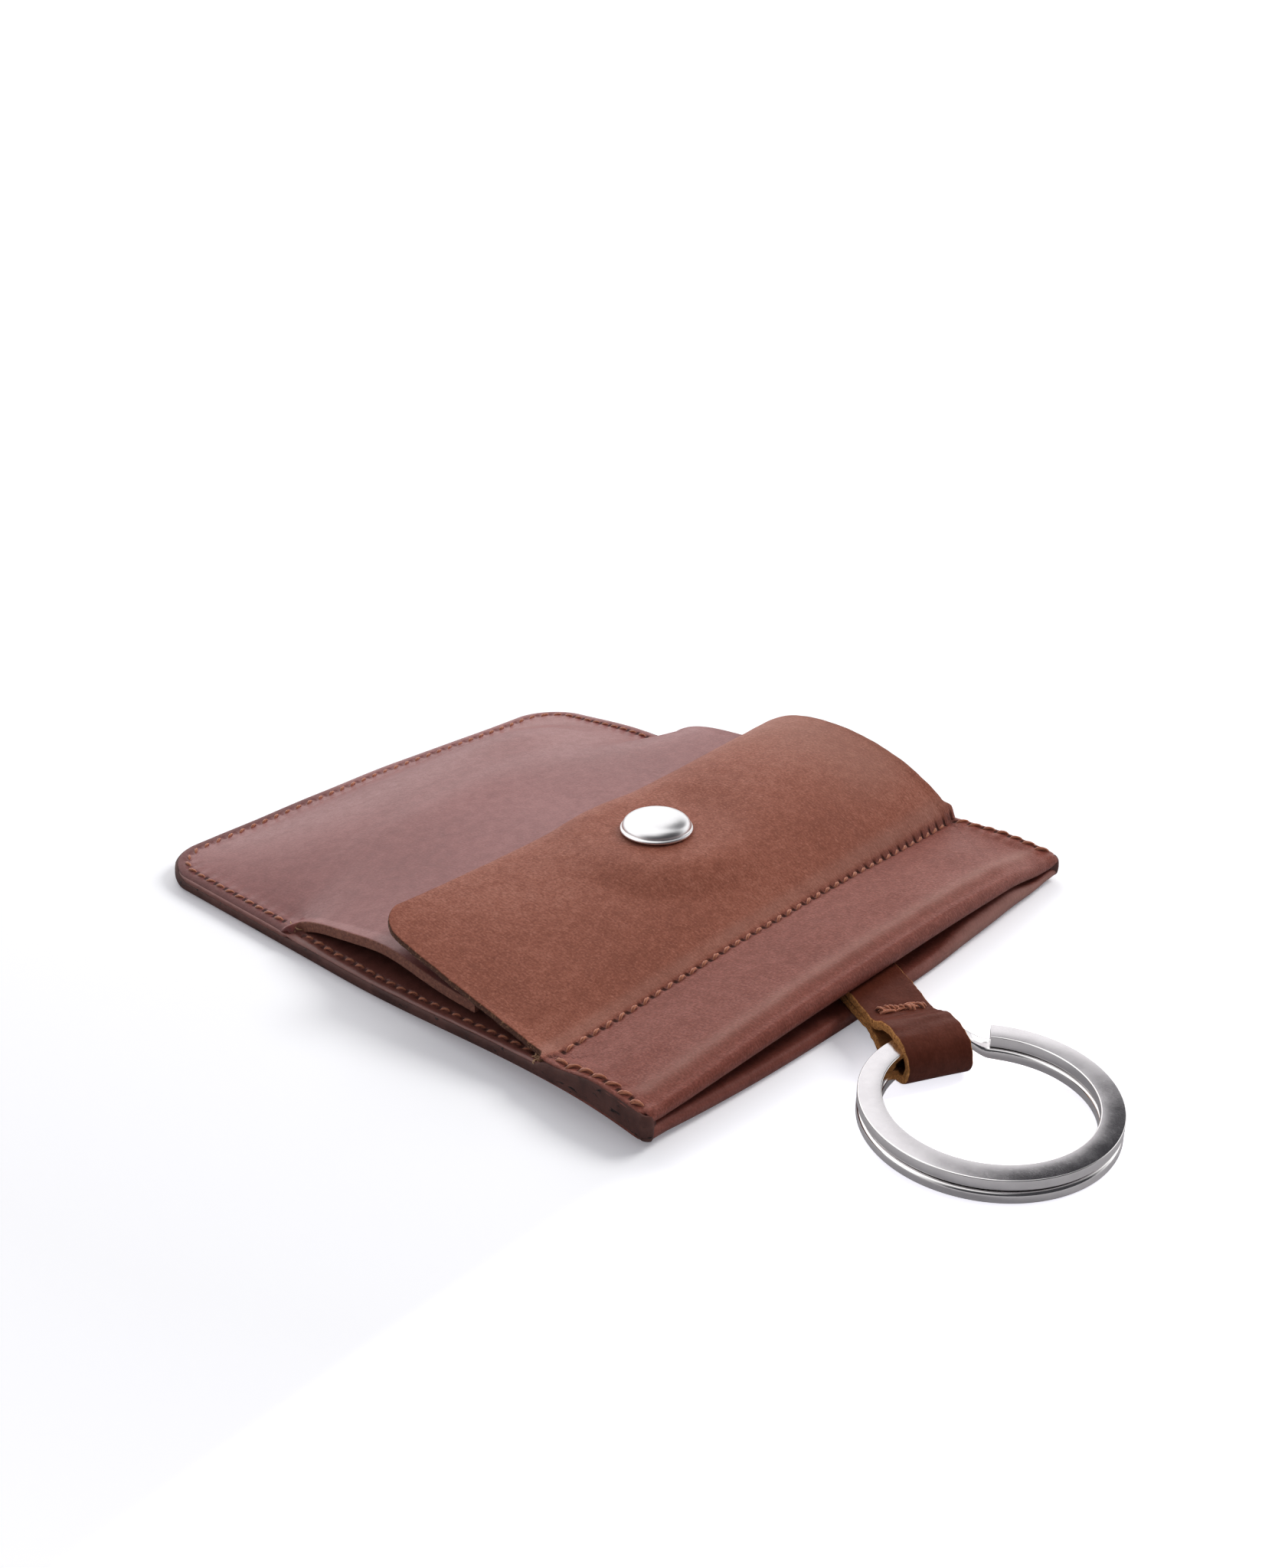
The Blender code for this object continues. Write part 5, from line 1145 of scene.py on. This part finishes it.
def make_strap():
    """Doubled strap: strap_profile carried across its width, wrinkled at the loop and dipped under the tack."""
    path = strap_profile()
    along = unit(np.gradient(path, axis=0))
    steps = way_along(path)
    reach, half = path[:, :1], 0.5 * STRAP_WIDTH
    places = np.concatenate([
        -half + RIM_STEPS[:8], np.linspace(-half + 1.5, half - 1.5, 21), (half - RIM_STEPS[:8])[::-1]
    ])
    wrinkle = ripple(places[None, :] * 0.35, steps[:, None], (4.2, 2.4), 63) * bell(reach, 16.5, 4.0)
    proud = 0.5 * STRAP_LEATHER + 0.22 * wrinkle
    ragged = 0.12 * ripple(steps, 0.0 * steps, (3.0, 1.2), 61)[:, None]
    across = places[None, :] + np.sign(places) * ragged * (np.abs(places) > half - 1.2)
    round_in = np.clip((0.8 - reach) / 5.0, 0.0, 0.98)
    across = across * np.sqrt(1.0 - round_in**2) * (1.0 - 0.035 * bell(reach, TACK_REACH, 2.0))
    tack_dip = bell(reach, TACK_REACH, 0.8) * (steps < 0.5 * steps[-1])[:, None]
    height = path[:, 1:] + along[:, :1] * proud - 0.16 * tack_dip * np.exp(-((places[None, :] / 3.2) ** 6))
    grid = on_strap(reach - along[:, 1:] * proud, across, height)
    rim = np.minimum(half - np.abs(places)[None, :], np.minimum(steps, steps[-1] - steps)[:, None])
    coords = np.stack(np.broadcast_arrays(places[None, :], steps[:, None], 0.0), axis=-1)
    # Painted shade in the dip under the tack and in the hollows of the wrinkles at the loop.
    crease = 0.4 * tack_dip * np.exp(-((places[None, :] / 3.0) ** 4)) + 0.5 * np.maximum(-wrinkle, 0.0)
    item = leather_sheet(
        "strap_leather", grid[:, ::-1], np.maximum(rim, 0.0)[:, ::-1], LEATHER_STRAP, coords[:, ::-1],
        thickness=STRAP_LEATHER, crease=crease[:, ::-1],
    )
    start, end = (on_strap(reach, 0.0, 0.0) * MM for reach in (STRAP_BEND_START, STRAP_BEND_END))
    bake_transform(item)
    put(item, None, ["strap_neck", "strap_loop"])

    front = STRAP_PIVOT[1] + half + 0.3
    for label, level in (("upper", STRAP_PLY_LEVEL), ("lower", -STRAP_PLY_LEVEL)):
        x, y = np.meshgrid(places, spaced(front, TAB_END_Y, 0.5))
        tab = np.stack([x, y, np.full_like(x, STRAP_PIVOT[2] + level + 0.5 * STRAP_LEATHER)], axis=-1)
        rim = np.minimum(half - np.abs(x), np.minimum(y - front, TAB_END_Y - y))
        item = leather_sheet("strap_tab_" + label, tab, np.maximum(rim, 0.0), LEATHER_STRAP, tab,
                             thickness=STRAP_LEATHER)
        put(item, "pouch", ["strap_tab"])


def make_tack():
    """Bar tack across the strap: an uneven overcast of short slanting strands over three runs of long ones."""
    rng = np.random.default_rng(71)
    half = 0.5 * TACK_LENGTH
    level = TACK_LEVEL + 0.5 * STRAP_LEATHER - 0.12
    spans = np.tile(np.array([(-1.0, -0.15), (-0.3, 0.45), (0.2, 1.0)]) * half, (3, 1))
    runs = np.repeat([-0.34, 0.0, 0.32], 3)
    wobble = rng.uniform(-0.18, 0.18, (9, 2))
    place = np.linspace(-half, half, 11) + rng.uniform(-0.22, 0.22, 11)
    length = rng.uniform(0.35, 0.85, 11)
    drift = rng.uniform(0.1, 0.9, 11)
    bend = 0.40 * np.sin(place / half * 2.2)
    first = np.concatenate([
        np.stack([runs + wobble[:, 0], spans[:, 0]], axis=1), np.stack([bend - length, place], axis=1)
    ])
    last = np.concatenate([
        np.stack([runs + wobble[:, 1], spans[:, 1]], axis=1), np.stack([bend + length, place + drift], axis=1)
    ])
    share = np.linspace(0.0, 1.0, 11)[None, :]
    flat = between(first[:, None, :], last[:, None, :], share[..., None])
    bow = np.sin(HALF_TURN * share)
    over = np.concatenate([np.full(9, 0.20), rng.uniform(0.34, 0.50, 11)])[:, None]
    rise = level + over * np.maximum(bow, 0.0) ** 0.5 - 0.25 * (1.0 - bow) ** 2
    centres = on_strap(TACK_REACH + flat[..., 0], flat[..., 1], rise)
    across = np.broadcast_to(np.cross(UP, unit(centres[:, -1:] - centres[:, :1])), centres.shape)
    radii = np.broadcast_to(rng.uniform(0.15, 0.22, (len(centres), 1)), centres.shape[:2])
    item = strands("tack_stitches", THREAD, centres, across, np.broadcast_to(UP, centres.shape), radii)
    put(item, "loop", ["strap_tack_thread"])


# Split ring


def ring_frame():
    """Middle of the ring and its directions: it leans from the loop down to the floor."""
    low = RING_WIRE_HEIGHT + 0.5 * RING_COIL_GAP
    reach = 0.5 * (RING_DIAMETER - RING_BAND) - RING_SEAT_SHIFT
    seat = on_strap(STRAP_LOOP_REACH, 0.0, -RING_DROP)
    tilt = math.asin((seat[2] - low) / (reach + 0.5 * RING_DIAMETER))
    side = np.array([math.cos(RING_YAW), -math.sin(RING_YAW), 0.0])
    out = np.array([-math.sin(RING_YAW), -math.cos(RING_YAW), 0.0]) * math.cos(tilt) - math.sin(tilt) * UP
    up = np.cross(out, side)
    return seat + reach * out, side, up if up[2] > 0.0 else -up


def make_ring():
    """Two stacked turns of one flat wire with a short pressed step; the upper end is cut square.

    Section corners are quarter circles, sharp on the upper face of the upper turn and round on the lower turn.
    The faces lean out a little, as a coil wound from flat wire does.
    """
    centre, side, up = ring_frame()
    middle = 0.5 * (RING_DIAMETER - RING_BAND)
    level = 0.5 * (RING_WIRE_HEIGHT + RING_COIL_GAP)
    step_start = WHOLE_TURN - RING_STEP_ANGLE
    turns = np.concatenate([
        np.linspace(0.0, step_start, 190, endpoint=False),
        np.linspace(step_start, WHOLE_TURN, 24, endpoint=False),
        np.linspace(WHOLE_TURN, 2.0 * WHOLE_TURN - 1.12 * RING_STEP_ANGLE, 170),
    ])[:, None]
    share = (turns - step_start) / RING_STEP_ANGLE
    lower, pinch = smooth_step(share), bell(share, 0.5, 0.45)
    band = 0.5 * RING_BAND * (1.0 - 0.16 * pinch)
    wire = 0.5 * RING_WIRE_HEIGHT * (1.0 - 0.10 * pinch)
    upper_radius = np.minimum(0.15 + 0.38 * lower + 0.25 * pinch, 0.98 * wire)
    lower_radius = np.minimum(0.46 + 0.10 * pinch, 0.98 * wire)
    quarter = np.linspace(0.0, QUARTER_TURN, 7)[None, :]
    corners = []
    for quarters, (band_side, wire_side) in enumerate(((1.0, 1.0), (-1.0, 1.0), (-1.0, -1.0), (1.0, -1.0))):
        radius = upper_radius if wire_side > 0.0 else lower_radius
        angle = quarters * QUARTER_TURN + quarter
        corners.append(np.stack([
            band_side * (band - radius) + radius * np.cos(angle), wire_side * (wire - radius) + radius * np.sin(angle)
        ], axis=-1))
    section = np.concatenate(corners, axis=1)
    section[..., 1] -= RING_LEAN * section[..., 0] * (section[..., 1] > 0.0)
    angles = (RING_CUT_ANGLE - turns)[..., None]
    flat_y = np.cross(up, side)
    plan = unit(np.cos(angles) * np.array([side[0], flat_y[0]]) + np.sin(angles) * np.array([-flat_y[0], side[0]]))
    direction = plan[..., :1] * side + plan[..., 1:] * flat_y
    heights = (level - 2.0 * level * lower)[..., None] + section[..., 1:]
    points = centre + (middle + section[..., :1]) * direction + heights * up
    rows, columns = points.shape[:2]
    face = quads(rows, columns, closed=True)
    ends = [np.arange(columns)[None, ::-1], np.arange((rows - 1) * columns, rows * columns)[None, :]]
    number = np.arange(len(face))
    satin = (number % columns == quarter.size - 1) & (lower[number // columns, 0] < 0.5)
    item = mesh_object("split_ring_wire", points, [face, *ends], [NICKEL_MIRROR, NICKEL_SATIN],
                       indices=np.concatenate([satin, [True, False]]), sharp=55.0)
    put(item, "ring", ["split_ring"])


# Stage

FLOOR_REACH, FLOOR_GAP = 3.0, 0.0001
FLOOR_GLOW_NEAR, FLOOR_GLOW_FAR = 0.20, 0.90
FLOOR_WHITE, FLOOR_IN_MIRROR = (0.86, 0.86, 0.86), (0.34, 0.33, 0.33)
AMBIENT, WHITE_WALL, DARK_WALL = (0.27, 0.27, 0.29), (1.30, 1.30, 1.30), (0.05, 0.05, 0.055)
# Dark walls that the metal sees: azimuth from +Y to +X and elevation in degrees, then the cosines of the
# angles from there at which one starts and is full
DARK_WALLS = ((88.0, 44.0, 0.925, 0.952), (180.0, 25.0, 0.55, 0.85), (232.0, 5.0, 0.45, 0.85))
LAMP_TARGET = (0.0, -0.01, 0.0)
LAMPS = (
    ("key", (0.56, -0.24, 0.56), (0.34, 0.34), 4.0),
    ("back", (0.42, 0.58, 0.46), (0.9, 0.5), 5.2),
    ("fill", (-0.5, -0.3, 0.8), (0.7, 0.7), 0.7),
)
SENSOR_WIDTH, FOCAL_PIXELS, FRAME_HEIGHT_PIXELS = 36.0, 2933.9, 2048.0
CAMERA_PLACE, CAMERA_DOWN, CAMERA_TOWARD_X = (-0.208622, -0.188175, 0.148212), 25.243, 48.979


def make_floor():
    """White paper floor: the lamps light it and it keeps the shadow, and its own glow grows away from the case."""
    g = Graph(bpy.data.materials.new("floor_white"))
    path = g.add("LightPath").outputs
    colour = g.mix(path["Is Glossy Ray"], FLOOR_WHITE, FLOOR_IN_MIRROR)
    g.shade(Roughness=0.9, Specular_IOR_Level=0.1, Base_Color=colour)
    place = g.add("TexCoord").outputs["Object"]
    away = g.add("VectorMath", place, operation="LENGTH").outputs["Value"]
    # Painted light on the floor: its glow is lowest by the case, so that the case's shadow shows there, and it is
    # raised in front of the mouth, which washes out the shadows of the strap and the ring.
    share = g.most(g.ramp(away, 0.10, 0.45), g.ramp(g.parts(place)[1], -0.048, -0.062, 0.0, 0.9))
    seen = g.most(path["Is Camera Ray"], path["Is Transmission Ray"])
    seen = g.plus(seen, g.times(path["Is Glossy Ray"], 0.15))
    strength = g.times(seen, g.ramp(share, 0.0, 1.0, FLOOR_GLOW_NEAR, FLOOR_GLOW_FAR))
    glow = g.add("Emission", inputs={"Color": (0.94, 0.93, 1.0), "Strength": strength})
    both = g.add("AddShader", g.shader.outputs[0], glow.outputs[0])
    g.fill(g.tree.nodes["Material Output"].inputs["Surface"], both.outputs[0])
    mesh = bpy.data.meshes.new("floor")
    corners = ((-1.0, -1.0), (1.0, -1.0), (1.0, 1.0), (-1.0, 1.0))
    mesh.from_pydata([(x * FLOOR_REACH, y * FLOOR_REACH, -FLOOR_GAP) for x, y in corners], [], [(0, 1, 2, 3)])
    mesh.materials.append(g.material)
    floor = bpy.data.objects.new("floor", mesh)
    bpy.context.scene.collection.objects.link(floor)


def make_walls():
    """White walls that the metal sees, with dark ones to the right and behind the camera."""
    bpy.context.scene.world = bpy.data.worlds.new("studio")
    g = Graph(bpy.context.scene.world)
    path = g.add("LightPath").outputs
    around = g.add("TexCoord").outputs["Generated"]
    dark = 0.0
    for azimuth, elevation, start, full in DARK_WALLS:
        azimuth, elevation = math.radians(azimuth), math.radians(elevation)
        level = math.cos(elevation)
        middle = (level * math.sin(azimuth), level * math.cos(azimuth), math.sin(elevation))
        toward = g.add("VectorMath", around, middle, operation="DOT_PRODUCT").outputs["Value"]
        dark = g.most(g.ramp(toward, start, full), dark)
    seen = g.mix(path["Is Glossy Ray"], AMBIENT, g.mix(dark, WHITE_WALL, DARK_WALL))
    seen = g.mix(path["Is Camera Ray"], seen, (1.0, 1.0, 1.0))
    background = g.tree.nodes["Background"]
    g.fill(background.inputs["Strength"], 1.0)
    g.fill(background.inputs["Color"], seen)


def make_lamps():
    """Three soft lamps, which the metal doesn't mirror."""
    for name, place, size, power in LAMPS:
        lamp = bpy.data.lights.new(name, "AREA")
        lamp.shape = "RECTANGLE"
        lamp.size, lamp.size_y = size
        lamp.energy = power
        item = bpy.data.objects.new(name, lamp)
        bpy.context.scene.collection.objects.link(item)
        away = np.array(place) - np.array(LAMP_TARGET)
        item.location = place
        item.rotation_euler = (math.atan2(math.hypot(away[0], away[1]), away[2]), 0.0, math.atan2(away[0], -away[1]))
        item.visible_glossy = False


def make_camera():
    """The photograph's view: about 25 degrees down, and 49 degrees from +Y towards +X."""
    lens = bpy.data.cameras.new("camera")
    lens.sensor_fit = "AUTO"
    lens.sensor_width = SENSOR_WIDTH
    lens.lens = FOCAL_PIXELS / FRAME_HEIGHT_PIXELS * SENSOR_WIDTH
    lens.clip_start, lens.clip_end = 0.01, 20.0
    camera = bpy.data.objects.new("camera", lens)
    bpy.context.scene.collection.objects.link(camera)
    camera.location = CAMERA_PLACE
    camera.rotation_euler = (math.radians(90.0 - CAMERA_DOWN), 0.0, -math.radians(CAMERA_TOWARD_X))
    bpy.context.scene.camera = camera
    bpy.context.scene.view_settings.view_transform = "Standard"


make_camera()
make_back_leather()
make_divider_leather()
make_cover_leather()
make_pocket_leather()
make_burnished_edge()
make_stitches()
make_frayed_ends()
make_snap()
make_strap()
make_tack()
make_ring()
make_floor()
make_walls()
make_lamps()
